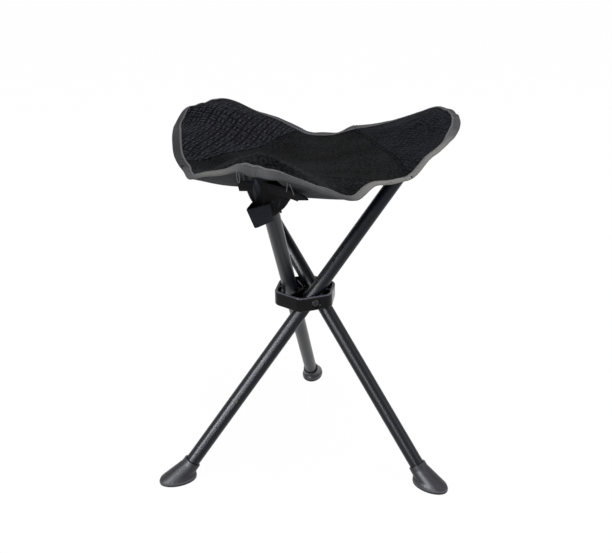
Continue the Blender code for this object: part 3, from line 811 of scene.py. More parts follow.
def distance_to(plan, one, two):
    """Distance of points of the plan from a stretch of line."""
    one, two = np.array(one), np.array(two)
    line = two - one
    share = np.clip(((plan - one) @ line) / (line @ line), 0.0, 1.0)
    return np.linalg.norm(plan - one - share[:, None] * line, axis=1)


SEAM_ROWS = (0.0012, 0.0024, 0.0040, 0.0060, 0.0074, 0.0090)


def even_grid(low, high):
    """Points in rows of even triangles that fill a box of the plan."""
    made = []
    y, odd = low[1], False
    while y < high[1]:
        x = low[0] + (CELL / 2 if odd else 0.0)
        while x < high[0]:
            made.append((x, y))
            x += CELL
        y += CELL * math.sqrt(3) / 2
        odd = not odd
    return np.array(made)


def free_points(ring):
    """Points of the plan off the hem and the cut lines: an even grid, with closer rows beside the seams."""
    grid = even_grid(ring.min(0), ring.max(0))
    rows = []
    for leg in legs.values():
        past = past_seam(grid, leg)
        grid = grid[(past < -EDGE_CLEAR) | (past > SEAM_ROWS[-1] + EDGE_CLEAR)]
        for inset in SEAM_ROWS:
            rows += stepped(*seam_line(leg, inset), CELL)
    free = np.vstack((grid, rows))
    free = free[inside_hem(free, ring)]
    clear = np.ones(len(free), bool)
    for one, two in cut_lines:
        clear &= distance_to(free, one, two) >= LINE_CLEAR
    for one, two in zip(ring, np.roll(ring, -1, 0)):
        clear &= distance_to(free, one, two) >= EDGE_CLEAR
    return free[clear]


def cut_plan(ring):
    """Points and triangles of the flat sheet, with the hem, the seams and the gore lines as edges."""
    spots = list(ring)
    edges = [(k, (k + 1) % len(ring)) for k in range(len(ring))]
    for one, two in cut_lines:
        line = np.array(stepped(one, two, CELL))
        kept = line[inside_hem(line, ring)]
        edges += [(len(spots) + k, len(spots) + k + 1) for k in range(len(kept) - 1)]
        spots += list(kept)
    spots += list(free_points(ring))
    result = geometry.delaunay_2d_cdt([Vector(spot) for spot in spots], edges, [], 1, 1e-6)
    plan = np.array([tuple(spot) for spot in result[0]])
    faces = np.array(result[2])
    faces = faces[inside_hem(plan[faces].mean(1), ring)]
    one, two, three = (plan[faces[:, k]] for k in range(3))
    area = (two - one)[:, 0] * (three - one)[:, 1] - (two - one)[:, 1] * (three - one)[:, 0]
    return plan, np.where(area[:, None] > 0, faces, faces[:, ::-1])


plan, plan_faces = cut_plan(hem[:, :2])
middle = plan[plan_faces].mean(1)
print("sheet", len(plan), "points", len(plan_faces), "triangles")

# %% Which leg, gore and cloth each triangle belongs to


def sector(plan):
    """Nearest corner by azimuth, as a leg's letter for each point."""
    turn = np.arctan2(plan[:, 1] - centre[1], plan[:, 0] - centre[0])
    gaps = [np.abs(np.angle(np.exp(1j * (turn - leg.azimuth)))) for leg in legs.values()]
    return np.array(list(legs))[np.argmin(gaps, axis=0)]


def gore(plan, leg):
    """Gore number about one tube end: 0 and 1 on the side its rivet points to, 2 and 3 on the other."""
    along = TIP_DISTANCE - (plan - centre) @ np.array(leg.out.xy)
    wide = (plan - centre) @ np.array(leg.across.xy)
    edge = GORE_BRANCH * math.sin(GORE_TURN) / (TIP_DISTANCE - GORE_BRANCH * math.cos(GORE_TURN))
    far = np.abs(wide) > edge * np.maximum(along, 0.0)
    return np.where(wide < 0.0, np.where(far, 0, 1), np.where(far, 3, 2))


def carriers(plan):
    """Leg's letter and gore number for each point of the plan."""
    letters = sector(plan)
    numbers = np.zeros(len(plan), int)
    for letter, leg in legs.items():
        mine = letters == letter
        numbers[mine] = gore(plan[mine], leg)
    return letters, numbers


face_leg, face_gore = carriers(middle)
face_patch = np.zeros(len(middle), bool)
for letter, leg in legs.items():
    face_patch |= (face_leg == letter) & (past_seam(middle, leg) > 0.0)
print("triangles of the corner patches", int(face_patch.sum()))

# %% Mesh helpers


def new_mesh(name, spots, faces, edges=()):
    mesh = bpy.data.meshes.new(name)
    mesh.from_pydata([tuple(spot) for spot in spots], edges, faces)
    return mesh


def add_object(name, mesh, look):
    made = bpy.data.objects.new(name, mesh)
    scene.collection.objects.link(made)
    mesh.materials.clear()
    mesh.materials.append(look)
    return made


def face_out(mesh, merge=0.0, wall=0.0):
    """Turn all faces outwards, after doubles are merged and a wall gets its thickness, where asked."""
    work = bmesh.new()
    work.from_mesh(mesh)
    if merge:
        bmesh.ops.remove_doubles(work, verts=work.verts, dist=merge)
    if wall:
        bmesh.ops.solidify(work, geom=work.faces[:], thickness=wall)
    bmesh.ops.recalc_face_normals(work, faces=work.faces)
    work.to_mesh(mesh)
    work.free()


def chart(mesh, uvs):
    """A cloth map in metres, with one map point for each vertex."""
    uv = mesh.uv_layers.new(name=WEAVE)
    for loop, point in zip(mesh.loops, uv.data):
        point.uv = uvs[loop.vertex_index]


def loft(rows, size, ring=False):
    """Faces along rows of a closed section, joined into a ring or capped at both ends."""
    faces = []
    for row in range(rows if ring else rows - 1):
        first, after = row * size, (row + 1) % rows * size
        for k in range(size):
            step = (k + 1) % size
            faces.append((first + k, first + step, after + step, after + k))
    if not ring:
        faces.append(tuple(range(size))[::-1])
        faces.append(tuple((rows - 1) * size + k for k in range(size)))
    return faces


def finished_mesh(name, spots, faces, uvs, look):
    """An object from points and faces that point out, with one map point for each vertex."""
    mesh = new_mesh(name, spots, faces)
    face_out(mesh)
    chart(mesh, uvs)
    for polygon in mesh.polygons:
        polygon.use_smooth = len(polygon.vertices) == 4
    return add_object(name, mesh, look)


def plain_mesh(name, guide):
    """The evaluated shape of a guide object as a plain mesh. The guide is removed."""
    scene.collection.objects.link(guide)
    made = bpy.data.meshes.new_from_object(guide.evaluated_get(bpy.context.evaluated_depsgraph_get()))
    made.name = name
    bpy.data.objects.remove(guide)
    return made


# %% Sheet thickness and seams
CLOTH_HALF = 0.0006
LAP = 0.0007
LAP_END = 0.011
LAP_SLOPE = 0.003
STITCH_INSETS = (0.0024, 0.0074)
STITCH_DIP = 0.0005
STITCH_DIP_REACH = 0.0011
DEEPEST_DIP = -0.8 * CLOTH_HALF


def seam_lift(plan):
    """Extra height of a corner patch: a folded lap at its seam, drawn down along two rows of stitches."""
    made = np.zeros(len(plan))
    for leg in legs.values():
        inset = past_seam(plan, leg)
        lap = LAP * np.clip((LAP_END - inset) / LAP_SLOPE, 0.0, 1.0)
        dips = sum(np.exp(-((inset - row) / STITCH_DIP_REACH) ** 2) for row in STITCH_INSETS)
        made += np.where(inset > -1e-6, lap - STITCH_DIP * dips, 0.0)
    return np.maximum(made, DEEPEST_DIP)


normals = drape_normals(plan)
sheet_spots = np.column_stack((plan, drape(plan)))


def shell(name, faces, top, bottom, look, turn=0.0):
    """A closed thin piece of the sheet between a top and a bottom offset, shaded as part of the whole."""
    used = sorted({k for face in faces for k in face})
    place = {k: j for j, k in enumerate(used)}
    size = len(used)
    base, lean = sheet_spots[used], normals[used]
    spots = np.vstack((base + lean * top[used][:, None], base - lean * bottom))
    made, kinds = [], []
    border = {}
    for face in faces:
        a, b, c = (place[k] for k in face)
        made += [(a, b, c), (c + size, b + size, a + size)]
        kinds += [1, -1]
        for one, two in ((a, b), (b, c), (c, a)):
            if (two, one) in border:
                del border[(two, one)]
            else:
                border[(one, two)] = True
    for one, two in border:
        made.append((two, one, one + size, two + size))
        kinds.append(0)
    mesh = new_mesh(name, spots, made)
    mesh.update()
    c, s = math.cos(turn), math.sin(turn)
    flat = spots[:, :2] - centre
    chart(mesh, np.column_stack((flat[:, 0] * c + flat[:, 1] * s, flat[:, 1] * c - flat[:, 0] * s)))
    split = []
    for polygon, kind in zip(mesh.polygons, kinds):
        polygon.use_smooth = True
        for vertex in polygon.vertices:
            split.append(tuple(lean[vertex % size] * kind if kind else polygon.normal))
    mesh.normals_split_custom_set(split)
    return add_object(name, mesh, look)


# %% Make the gores
GORE_OFFSET = 0.0105
PRINT_TURN = math.radians(28.0)
flat_top = np.full(len(plan), CLOTH_HALF)
patch_top = flat_top + seam_lift(plan)
cloth_pieces = []
gore_fold = {}


def fold_of(leg, mine):
    """Direction from the tube toward a gore's middle, and a place just off the tube's surface in that
    direction.
    """
    spot = middle[mine].mean(0)
    gap = Vector((*spot, float(drape([spot])[0]))) - leg.tip
    gap -= leg.d * gap.dot(leg.d)
    axis = gap.normalized()
    return axis, leg.tip + axis * GORE_OFFSET


for letter, leg in legs.items():
    patch_turn = leg.azimuth + PRINT_TURN
    for number, side in enumerate(GORE_SIDES):
        mine = (face_leg == letter) & (face_gore == number)
        gore_fold[letter, number] = fold_of(leg, mine)
        for kind, chosen, top, look, turn in (
            ("seat_panel", mine & ~face_patch, flat_top, seat_cloth, 0.0),
            ("corner_patch", mine & face_patch, patch_top, patch_cloth[letter], patch_turn),
        ):
            if chosen.any():
                faces = plan_faces[chosen].tolist()
                piece = shell(f"{kind}_{letter}_{side}", faces, top, CLOTH_HALF, look, turn)
                cloth_pieces.append((piece, letter, number, kind))
print("gores", len(cloth_pieces))

# %% [markdown]
# The hem is a grey tape folded over the edge of the sheet and sewn through. Its section is a flattened U,
# swept along the hem with the sheet's own height under it, so it dips and tilts with the cloth. It is
# rolled under at the end of corner c, lies narrower along the low stretches beside corners b and a, and
# wider along the far edge.

# %% Binding tape
TAPE_LIFT = 0.00085
TAPE_WALL = 0.0008
# Azimuth in degrees and the share of the tape's width that lies on top
TAPE_ON_TOP = (
    (20, 1.0), (28, 0.6), (34, 0.9), (42, 1.6), (88, 1.6), (93, 1.2), (109, 1.0), (116, 0.15), (122, 0.15),
    (127, 0.3), (141, 0.3), (147, 1.0), (206, 1.0), (214, 0.75), (237, 0.75), (240, 0.58), (247.5, 0.58),
    (250, 1.0), (280, 1.0), (284, 0.62), (289, 0.66), (293, 0.8), (298, 0.8), (312, 0.72), (318, 0.62),
    (342, 0.62), (352, 1.0),
)
# Azimuth in degrees and how much light is painted on the tape: above nought paler, below nought darker as
# painted shade
TAPE_PAINTED_LIGHT = (
    (0, 0.0), (30, -0.4), (110, -0.4), (140, 0.0), (150, -1.0), (205, -1.0), (214, -0.2), (236, 0.1),
    (241, 0.5), (247, 0.5), (252, 0.0), (284, 0.0), (294, 0.75), (340, 0.75), (350, 0.2), (360, 0.0),
)


def tape_section():
    """Inset from the hem and lift over the sheet, round the tape's closed section, with rounded edges."""
    high = TAPE_LIFT + TAPE_WALL
    outer = [(TAPE_WIDTH, high - 0.0002), (TAPE_WIDTH - 0.0006, high), (TAPE_ROW, high - 0.0003)]
    outer += [(0.005, high + 0.0002), (0.003, high + 0.0002), (0.0009, high - 0.0002)]
    outer += [(-0.0003, high * 0.55), (-0.0007, 0.0)]
    lower = [(inset, -lift) for inset, lift in outer[-2::-1]]
    inner = [(TAPE_WIDTH, -TAPE_LIFT + 0.0001), (0.0012, -TAPE_LIFT + 0.0002), (0.0004, 0.0)]
    inner += [(0.0012, TAPE_LIFT - 0.0002), (TAPE_WIDTH, TAPE_LIFT - 0.0001)]
    return outer + lower + inner


def hem_frame(loop):
    """Inward direction in the plan at each point of a closed loop."""
    along = np.roll(loop, -1, 0)[:, :2] - np.roll(loop, 1, 0)[:, :2]
    along /= np.linalg.norm(along, axis=1)[:, None]
    return np.column_stack((-along[:, 1], along[:, 0]))


hem_inward = hem_frame(hem)
for _ in range(3):
    hem_inward = (np.roll(hem_inward, 1, 0) + 2 * hem_inward + np.roll(hem_inward, -1, 0)) / 4
    hem_inward /= np.linalg.norm(hem_inward, axis=1)[:, None]


def by_azimuth(table):
    """Value of an azimuth table at each point of the hem."""
    turn = np.degrees(np.arctan2(hem[:, 1] - centre[1], hem[:, 0] - centre[0])) % 360.0
    return np.interp(turn, *zip(*table))


def hem_line(inset, lift):
    """A line that runs along the whole hem at an inset, lifted square to the sheet."""
    share = by_azimuth(TAPE_ON_TOP) if lift > 0.0 else np.ones(len(hem))
    flat = hem[:, :2] + hem_inward * (inset * share)[:, None]
    base = np.column_stack((flat, drape(flat)))
    return base + drape_normals(flat) * lift


section = tape_section()
tape_painted_light = by_azimuth(TAPE_PAINTED_LIGHT)
tape_rows = np.stack([hem_line(inset, lift) for inset, lift in section], 1)


def tape_piece(name, run):
    """The tape along a run of hem points, closed at its two ends."""
    width = len(section)
    uvs = [(k * HEM_STEP, inset) for k in run for inset, lift in section]
    made = finished_mesh(name, tape_rows[run].reshape(-1, 3), loft(len(run), width), uvs, binding_tape)
    # Painted light and shade along the hem, kept on the tape's points
    fade = made.data.attributes.new("fade", "FLOAT", "POINT")
    fade.data.foreach_set("value", np.repeat(tape_painted_light[run], width).astype(np.float32))
    return made


def hem_runs():
    """Runs of hem points on one leg and one side of it, each with the first point of the next run."""
    count = len(hem)
    tags = [(letter, int(number)) for letter, number in zip(*carriers(hem[:, :2]))]
    starts = [k for k in range(count) if tags[k] != tags[k - 1]]
    for k, start in enumerate(starts):
        end = starts[(k + 1) % len(starts)]
        end += count if end <= start else 0
        yield tags[start], [j % count for j in range(start, end + 1)]


tape_pieces = []
for (letter, number), run in hem_runs():
    piece = tape_piece(f"edge_binding_{letter}_{GORE_SIDES[number]}", run)
    tape_pieces.append((piece, letter, number))
print("binding pieces", len(tape_pieces))

# %% [markdown]
# Stitches repeat along paths, so Geometry Nodes lay them: one small spindle of thread at each step of a
# line. The lines are the two rows beside each seam and one row along the tape, split where the gores are
# split.

# %% Stitch tree
STITCH_STEP = 0.0034
STITCH_LENGTH = 0.0026
STITCH_THREAD = 0.0005


def stitch_tree():
    """Mesh edges in, a spindle along the path at each step out."""
    tree = bpy.data.node_groups.new("stitch_rows", "GeometryNodeTree")
    face = tree.interface
    face.new_socket("Geometry", in_out="INPUT", socket_type="NodeSocketGeometry")
    for name, value in (("Step", STITCH_STEP), ("Length", STITCH_LENGTH), ("Thread", STITCH_THREAD)):
        face.new_socket(name, in_out="INPUT", socket_type="NodeSocketFloat").default_value = value
    face.new_socket("Material", in_out="INPUT", socket_type="NodeSocketMaterial")
    face.new_socket("Geometry", in_out="OUTPUT", socket_type="NodeSocketGeometry")
    given = tree.nodes.new("NodeGroupInput").outputs
    path = add_node(tree, "GeometryNodeMeshToCurve", Mesh=given["Geometry"]).outputs[0]
    steps = add_node(tree, "GeometryNodeCurveToPoints", {"mode": "LENGTH"}, Curve=path, Length=given["Step"])
    half = calculate(tree, "MULTIPLY", given["Length"], 0.5)
    size = add_node(tree, "ShaderNodeCombineXYZ", i0=given["Thread"], i1=given["Thread"], i2=half)
    bead = add_node(tree, "GeometryNodeMeshUVSphere", Segments=6, Rings=5, Radius=1.0)
    tangent = steps.outputs["Tangent"]
    turn = add_node(tree, "FunctionNodeAlignRotationToVector", {"axis": "Z"}, Vector=tangent)
    lay = add_node(tree, "GeometryNodeInstanceOnPoints", Points=steps.outputs["Points"],
                   Instance=bead.outputs["Mesh"], Rotation=turn.outputs[0], Scale=size.outputs[0])
    real = add_node(tree, "GeometryNodeRealizeInstances", i0=lay.outputs[0])
    smooth = add_node(tree, "GeometryNodeSetShadeSmooth", i0=real.outputs[0])
    paint = add_node(tree, "GeometryNodeSetMaterial", i0=smooth.outputs[0], Material=given["Material"])
    add_node(tree, "NodeGroupOutput", i0=paint.outputs[0])
    return tree


stitches = stitch_tree()


def sew(name, lines, look, thread):
    """Stitches along open lines of points, as one plain mesh."""
    spots, edges = [], []
    for line in lines:
        first = len(spots)
        spots += list(line)
        edges += [(first + k, first + k + 1) for k in range(len(line) - 1)]
    guide = bpy.data.objects.new(name + "_guide", new_mesh(name + "_line", spots, [], edges))
    modifier = guide.modifiers.new("stitches", "NODES")
    modifier.node_group = stitches
    values = {"Step": STITCH_STEP, "Length": STITCH_LENGTH, "Thread": thread, "Material": look}
    for item in stitches.interface.items_tree:
        if item.in_out == "INPUT" and item.name in values:
            modifier[item.identifier] = values[item.name]
    return add_object(name, plain_mesh(name, guide), look)


# %% Lay the stitches
STITCH_ROWS = {"a": STITCH_INSETS[:1], "b": STITCH_INSETS, "c": STITCH_INSETS}
SEAM_THREAD_SIZE = {"a": 0.0010, "b": STITCH_THREAD, "c": STITCH_THREAD}
STITCH_RISE = 0.0001
STITCH_LINE_STEP = 0.002
stitch_lines = {}
for letter, leg in legs.items():
    for inset in STITCH_ROWS[letter]:
        line = np.array(stepped(*seam_line(leg, inset), STITCH_LINE_STEP))
        line = line[inside_hem(line, hem[:, :2])]
        letters, numbers = carriers(line)
        rise = CLOTH_HALF + seam_lift(line) + STITCH_RISE
        spots = np.column_stack((line, drape(line))) + drape_normals(line) * rise[:, None]
        for number in range(len(GORE_SIDES)):
            chosen = np.where((numbers == number) & (letters == letter))[0]
            for block in np.split(chosen, np.where(np.diff(chosen) > 1)[0] + 1):
                if len(block) > 1:
                    stitch_lines.setdefault((letter, number, "seam"), []).append(spots[block])
hem_row = hem_line(TAPE_ROW, TAPE_LIFT + TAPE_WALL - STITCH_RISE)
for (letter, number), run in hem_runs():
    stitch_lines.setdefault((letter, number, "hem"), []).append(hem_row[run])
stitch_pieces = []
for (letter, number, kind), lines in stitch_lines.items():
    name = f"{kind}_stitches_{letter}_{GORE_SIDES[number]}"
    look = seam_thread[letter] if kind == "seam" else hem_thread
    thread = SEAM_THREAD_SIZE[letter] if kind == "seam" else STITCH_THREAD
    stitch_pieces.append((sew(name, lines, look, thread), letter, number))
print("stitch pieces", len(stitch_pieces))

# %% [markdown]
# Under each corner a cloth pocket takes the tube end. It is a baggy sleeve, sewn to the underside of the
# seat and drawn in to the tube, fuller on one side, with upright folds where the cloth has more width than
# the tube needs. Rings from a short table of stations are lofted, and a few cosines round each ring make
# the folds.

# %% Pockets
POCKET_RIM_CENTRE = 0.1445
POCKET_RIM_DEPTH = 0.0215
POCKET_RIM_DROP = 0.0024
POCKET_RIM_REACH = (0.0160, 0.0295)
POCKET_WALL = 0.0008
POCKET_ROUND = 84
POCKET_ROWS = 26
POCKET_JOIN = 0.6
POCKET_JOIN_EASE = 1.2
POCKET_BAG_END = 1.05
POCKET_BAG_EASE = 0.8
POCKET_GIRTH = 0.13
POCKET_ROW_STEP = 0.0023
# Level up the tube, reach to the rivet side, reach to the other side, and depth
POCKET_STATIONS = np.array((
    (0.1700, 0.0100, 0.0102, 0.0094),
    (0.1740, 0.0112, 0.0130, 0.0096),
    (0.1800, 0.0125, 0.0178, 0.0098),
    (0.1870, 0.0138, 0.0218, 0.0100),
    (0.1940, 0.0150, 0.0246, 0.0106),
    (0.2050, 0.0158, 0.0275, 0.0114),
    (0.2150, 0.0164, 0.0290, 0.0120),
))
# Share of the reach, folds round the tube, where they start and how far they turn on the way up
POCKET_FOLDS = ((0.070, 7, 1.1, 2.2), (0.045, 13, 0.0, -3.0))


def pocket_ring(leg, share, slack):
    """One ring of a pocket, from the mouth at share 0 to the sewn rim at share 1."""
    level = POCKET_STATIONS[0, 0] + (TUBE_TOP - POCKET_STATIONS[0, 0]) * share
    sides = [np.interp(level, POCKET_STATIONS[:, 0], POCKET_STATIONS[:, k]) - slack for k in (1, 2, 3)]
    join = max(0.0, (share - POCKET_JOIN) / (1.0 - POCKET_JOIN)) ** POCKET_JOIN_EASE
    bag = math.sin(math.pi * min(share * POCKET_BAG_END, 1.0)) ** POCKET_BAG_EASE
    lows, flats = [], []
    for k in range(POCKET_ROUND):
        bend = math.tau * k / POCKET_ROUND
        c, s = math.cos(bend), math.sin(bend)
        fold = 0.0
        for size, count, start, turn in POCKET_FOLDS:
            fold += size * math.cos(count * bend + start + turn * share)
        swell = 1.0 + bag * fold
        half = 0 if c > 0 else 1
        lows.append(leg.spot(sides[half] * swell * c, -sides[2] * swell * s, level))
        flat = HUB_AXIS + leg.e * (PIVOT_RADIUS + (POCKET_RIM_REACH[half] - slack) * c)
        flats.append(flat + leg.t * (POCKET_RIM_CENTRE + (POCKET_RIM_DEPTH - slack) * s))
    rim = drape([flat.xy for flat in flats]) - POCKET_RIM_DROP
    return [low.lerp(Vector((flat.x, flat.y, height)), join) for low, flat, height in zip(lows, flats, rim)]


def sleeve(name, rings, look):
    """Closed wall through rings that run up the outside and back down the inside."""
    size = len(rings[0])
    spots, uvs = [], []
    for row, ring in enumerate(rings):
        spots += ring
        uvs += [(abs(2 * k / size - 1.0) * POCKET_GIRTH / 2, row * POCKET_ROW_STEP) for k in range(size)]
    return finished_mesh(name, spots, loft(len(rings), size, ring=True), uvs, look)


pocket_pieces = {}
for letter, leg in legs.items():
    shares = [k / (POCKET_ROWS - 1) for k in range(POCKET_ROWS)]
    outside = [pocket_ring(leg, share, 0.0) for share in shares]
    inside = [pocket_ring(leg, share, POCKET_WALL) for share in shares]
    pocket_pieces[letter] = sleeve("leg_pocket_cloth_" + letter, outside + inside[::-1], pocket_cloth)
print("pockets", len(pocket_pieces))

# %% [markdown]
# A grey lining backs each corner. It is sewn in with the hem tape and its inner edge is pulled straight
# from one side of the corner to the other, under the tube. What shows is a wing of it on each side of the
# pocket, below the hem. Each wing is a grid between the hem and the taut edge, thickened with bmesh.

# %% Corner linings
LINING_EDGE = 0.1246
LINING_INSET = 0.0020
LINING_MARGIN = 0.002
LINING_START = {-1: 0.022, 1: 0.031}
LINING_TUCK = 0.012
LINING_SLACK = 0.0016
LINING_CURVE = 4
# How far out a wing ends and how low its taut edge sags, on most sides and on two that differ
LINING_END_SAG = (0.09, 0.0040)
LINING_ODD = {("b", -1): (0.058, 0.0140), ("b", 1): (0.09, 0.0014)}
LINING_WALL = 0.0007
LINING_SHARP = math.radians(50.0)
LINING_COLUMNS = 30
LINING_ROWS = 9
lining_hem = hem_line(LINING_INSET, -TAPE_LIFT - TAPE_WALL / 2)


def wing_spots(leg, side, end, sag):
    """Rows of points of one wing, from its taut edge out into the tape along the hem."""
    out = np.array(leg.out.xy)
    across = np.array(leg.across.xy) * side
    along = (lining_hem[:, :2] - centre) @ out
    wide = (lining_hem[:, :2] - centre) @ across
    near = np.where((along > LINING_EDGE + LINING_MARGIN) & (wide > 0.0))[0]
    near = near[np.argsort(wide[near])]
    start, end = LINING_START[side], min(end, wide[near].max())
    share = np.linspace(0.0, 1.0, LINING_COLUMNS)
    outer = start - LINING_TUCK + (end - start + LINING_TUCK) * share
    hem_along = np.interp(outer, wide[near], along[near])
    hem_high = np.interp(outer, wide[near], lining_hem[near, 2])
    inner = start + (end - start) * share
    edge_along = LINING_EDGE + (hem_along[-1] - LINING_MARGIN - LINING_EDGE) * share ** LINING_CURVE
    edge_high = hem_high[-1] - sag * (1.0 - share ** LINING_CURVE)
    rows = []
    for part in np.linspace(0.0, 1.0, LINING_ROWS):
        reach = edge_along + (hem_along - edge_along) * part
        sideways = inner + (outer - inner) * part
        flat = centre + reach[:, None] * out + sideways[:, None] * across
        slack = LINING_SLACK * math.sin(math.pi * part) * (1.0 - share)
        rows.append(np.column_stack((flat, edge_high + (hem_high - edge_high) * part - slack)))
    return np.array(rows)


def wing(name, rows, look):
    """A thin closed sheet through a grid of points."""
    high, wide = rows.shape[:2]
    faces = []
    for row in range(high - 1):
        for first in range(row * wide, row * wide + wide - 1):
            faces.append((first, first + 1, first + wide + 1, first + wide))
    mesh = new_mesh(name, rows.reshape(-1, 3), faces)
    face_out(mesh, wall=LINING_WALL)
    chart(mesh, [vertex.co.xy for vertex in mesh.vertices])
    for polygon in mesh.polygons:
        polygon.use_smooth = True
    mesh.set_sharp_from_angle(angle=LINING_SHARP)
    return add_object(name, mesh, look)


lining_pieces = []
for letter, leg in legs.items():
    for side, number in ((-1, 0), (1, 3)):
        rows = wing_spots(leg, side, *LINING_ODD.get((letter, side), LINING_END_SAG))
        piece = wing(f"corner_lining_{letter}_{GORE_SIDES[number]}", rows, lining_cloth)
        lining_pieces.append((piece, letter, number))
print("lining wings", len(lining_pieces))

# %% [markdown]
# A strip of webbing is sewn into each pocket, and its two ends come out at the sides and hang free. The
# closing strap is a slack open loop of the same webbing that hangs on one leg over the mouth of its pocket,
# with its fold out to the front. A few thread ends hang loose beside it.

# %% Webbing strips
WEB_WIDTH = 0.020
WEB_THICKNESS = 0.0014
WEB_LEVELS = (0.2135, 0.2225)
WEB_ENDS = (-0.0375, 0.0190)
WEB_DEPTH = 0.0105
WEB_FLARES = (0.0080, 0.0020)
WEB_FLARE_EASE = 1.2
WEB_DROOP_EASE = 0.5
WEB_LEAN = 0.2
WEB_POINTS = 49
BAND_ROUND = 0.0004
BAND_CROWN = 1.05


def band_mesh(name, path, wide, thick, look):
    """A flat band through places given as middle, outward and upward directions, with rounded edges."""
    half, deep = wide / 2, thick / 2
    front = [(half - BAND_ROUND, deep), (0.5 * half, deep), (0.0, deep * BAND_CROWN)]
    front += [(-rise, side) for rise, side in front[1::-1]]
    section = [(half, 0.0), *front, (-half, 0.0)]
    section += [(rise, -side) for rise, side in front[::-1]]
    spots, uvs, run = [], [], 0.0
    for k, (spot, out, up) in enumerate(path):
        run += (spot - path[k - 1][0]).length if k else 0.0
        spots += [spot + up * rise + out * side for rise, side in section]
        uvs += [(run, rise) for rise, side in section]
    return finished_mesh(name, spots, loft(len(path), len(section)), uvs, look)


def heading(spots, k):
    """Direction of a line of points at one of them."""
    return spots[min(k + 1, len(spots) - 1)] - spots[max(k - 1, 0)]


def web_path(leg):
    """The strip's line through the pocket, standing off at its free ends and drooping to the longer one."""
    sides = np.linspace(*WEB_ENDS, WEB_POINTS)
    share = (sides - WEB_ENDS[0]) / (WEB_ENDS[1] - WEB_ENDS[0])
    levels = WEB_LEVELS[0] + (WEB_LEVELS[1] - WEB_LEVELS[0]) * share ** WEB_DROOP_EASE
    long_end, short_end = (np.clip(sides / end, 0.0, 1.0) for end in WEB_ENDS)
    depths = WEB_DEPTH + WEB_FLARES[0] * long_end ** WEB_FLARE_EASE + WEB_FLARES[1] * short_end
    spots = [leg.spot(e, -n, d) for e, n, d in zip(sides, depths, levels)]
    up = (leg.d - leg.n * WEB_LEAN).normalized()
    path = []
    for k, spot in enumerate(spots):
        along = heading(spots, k).normalized()
        out = along.cross(up).normalized()
        path.append((spot, out, out.cross(along).normalized()))
    return path


web_pieces = {}
for letter, leg in legs.items():
    path = web_path(leg)
    web_pieces[letter] = band_mesh("pocket_web_" + letter, path, WEB_WIDTH, WEB_THICKNESS, pocket_web)
print("webbing strips", len(web_pieces))

# %% Closing strap
STRAP_WIDTH = 0.024
STRAP_THICKNESS = 0.0016
STRAP_POINTS = 73
STRAP_EASING = 8
# Millimetres on the leg, from the front end round the fold to the back end: the strap's middle along the
# rivet, off the tube and up the tube, then how far its top edge leans along the rivet and off the tube
STRAP_STATIONS = np.array((
    (-5.4, -12.6, 183.1, 0.0, 1.0),
    (3.9, -16.4, 182.2, 1.1, 1.6),
    (11.5, -19.4, 181.5, 2.1, 2.0),
    (13.5, -19.2, 180.8, 2.1, 2.0),
    (14.4, -14.8, 177.1, 1.8, 1.8),
    (14.7, -7.0, 171.5, 1.1, 1.0),
    (14.2, 1.0, 166.5, 0.6, 0.5),
    (8.9, 8.6, 162.5, 0.1, 0.0),
    (0.5, 11.0, 160.5, 0.0, 0.0),
    (-7.0, 9.4, 160.5, 0.0, 0.0),
)) / 1000.0


def eased(rows, count, passes):
    """A denser run through the rows of a table, with its corners rounded off."""
    at = np.linspace(0.0, len(rows) - 1.0, count)
    run = np.column_stack([np.interp(at, range(len(rows)), column) for column in rows.T])
    for _ in range(passes):
        run[1:-1] = (run[:-2] + 2 * run[1:-1] + run[2:]) / 4
    return run


strap_leg = legs["b"]
run = eased(STRAP_STATIONS, STRAP_POINTS, STRAP_EASING)
middles = [strap_leg.spot(*row[:3]) for row in run]
path = []
for k, row in enumerate(run):
    up = strap_leg.e * row[3] + strap_leg.n * row[4] + strap_leg.d * STRAP_WIDTH / 2
    path.append((middles[k], heading(middles, k).cross(up).normalized(), up / (STRAP_WIDTH / 2)))
strap = band_mesh("closing_strap_web", path, STRAP_WIDTH, STRAP_THICKNESS, webbing)
print("strap", len(strap.data.polygons), "faces")

# %% Loose thread ends
THREAD_RADIUS = 0.0003
THREAD_POINTS = 24
THREAD_EASING = 6
# Millimetres on the leg: along the rivet, off the tube and up the tube
LOOSE_THREADS = (
    ((14.6, -16.0, 250.7), (15.5, -18.0, 245.0), (15.0, -21.0, 240.6), (13.5, -22.5, 239.9),
     (12.8, -20.0, 243.6), (13.1, -17.0, 248.0)),
    ((-27.8, -17.0, 242.9), (-26.5, -19.0, 234.2), (-25.5, -21.5, 228.9)),
    ((-28.3, -17.5, 236.5), (-30.4, -20.0, 230.0), (-31.6, -22.0, 224.8)),
)


def poly_curve(name, dimensions, spots, edge, smoothness):
    """A curve through points, with a rounded edge."""
    curve = bpy.data.curves.new(name, "CURVE")
    curve.dimensions = dimensions
    curve.bevel_depth = edge
    curve.bevel_resolution = smoothness
    line = curve.splines.new("POLY")
    line.points.add(len(spots) - 1)
    for point, spot in zip(line.points, spots):
        point.co = (*spot, 1.0)
    return curve


def cord(name, spots, radius, look):
    """A round thread along points, as a plain mesh."""
    curve = poly_curve(name, "3D", spots, radius, 1)
    curve.use_fill_caps = True
    return add_object(name, plain_mesh(name, bpy.data.objects.new(name + "_guide", curve)), look)


loose_pieces = []
for k, spots in enumerate(LOOSE_THREADS):
    run = eased(np.array(spots) / 1000.0, THREAD_POINTS, THREAD_EASING)
    spots = [strap_leg.spot(*spot) for spot in run]
    loose_pieces.append(cord(f"loose_thread_{k}", spots, THREAD_RADIUS, hem_thread))
print("loose threads", len(loose_pieces))

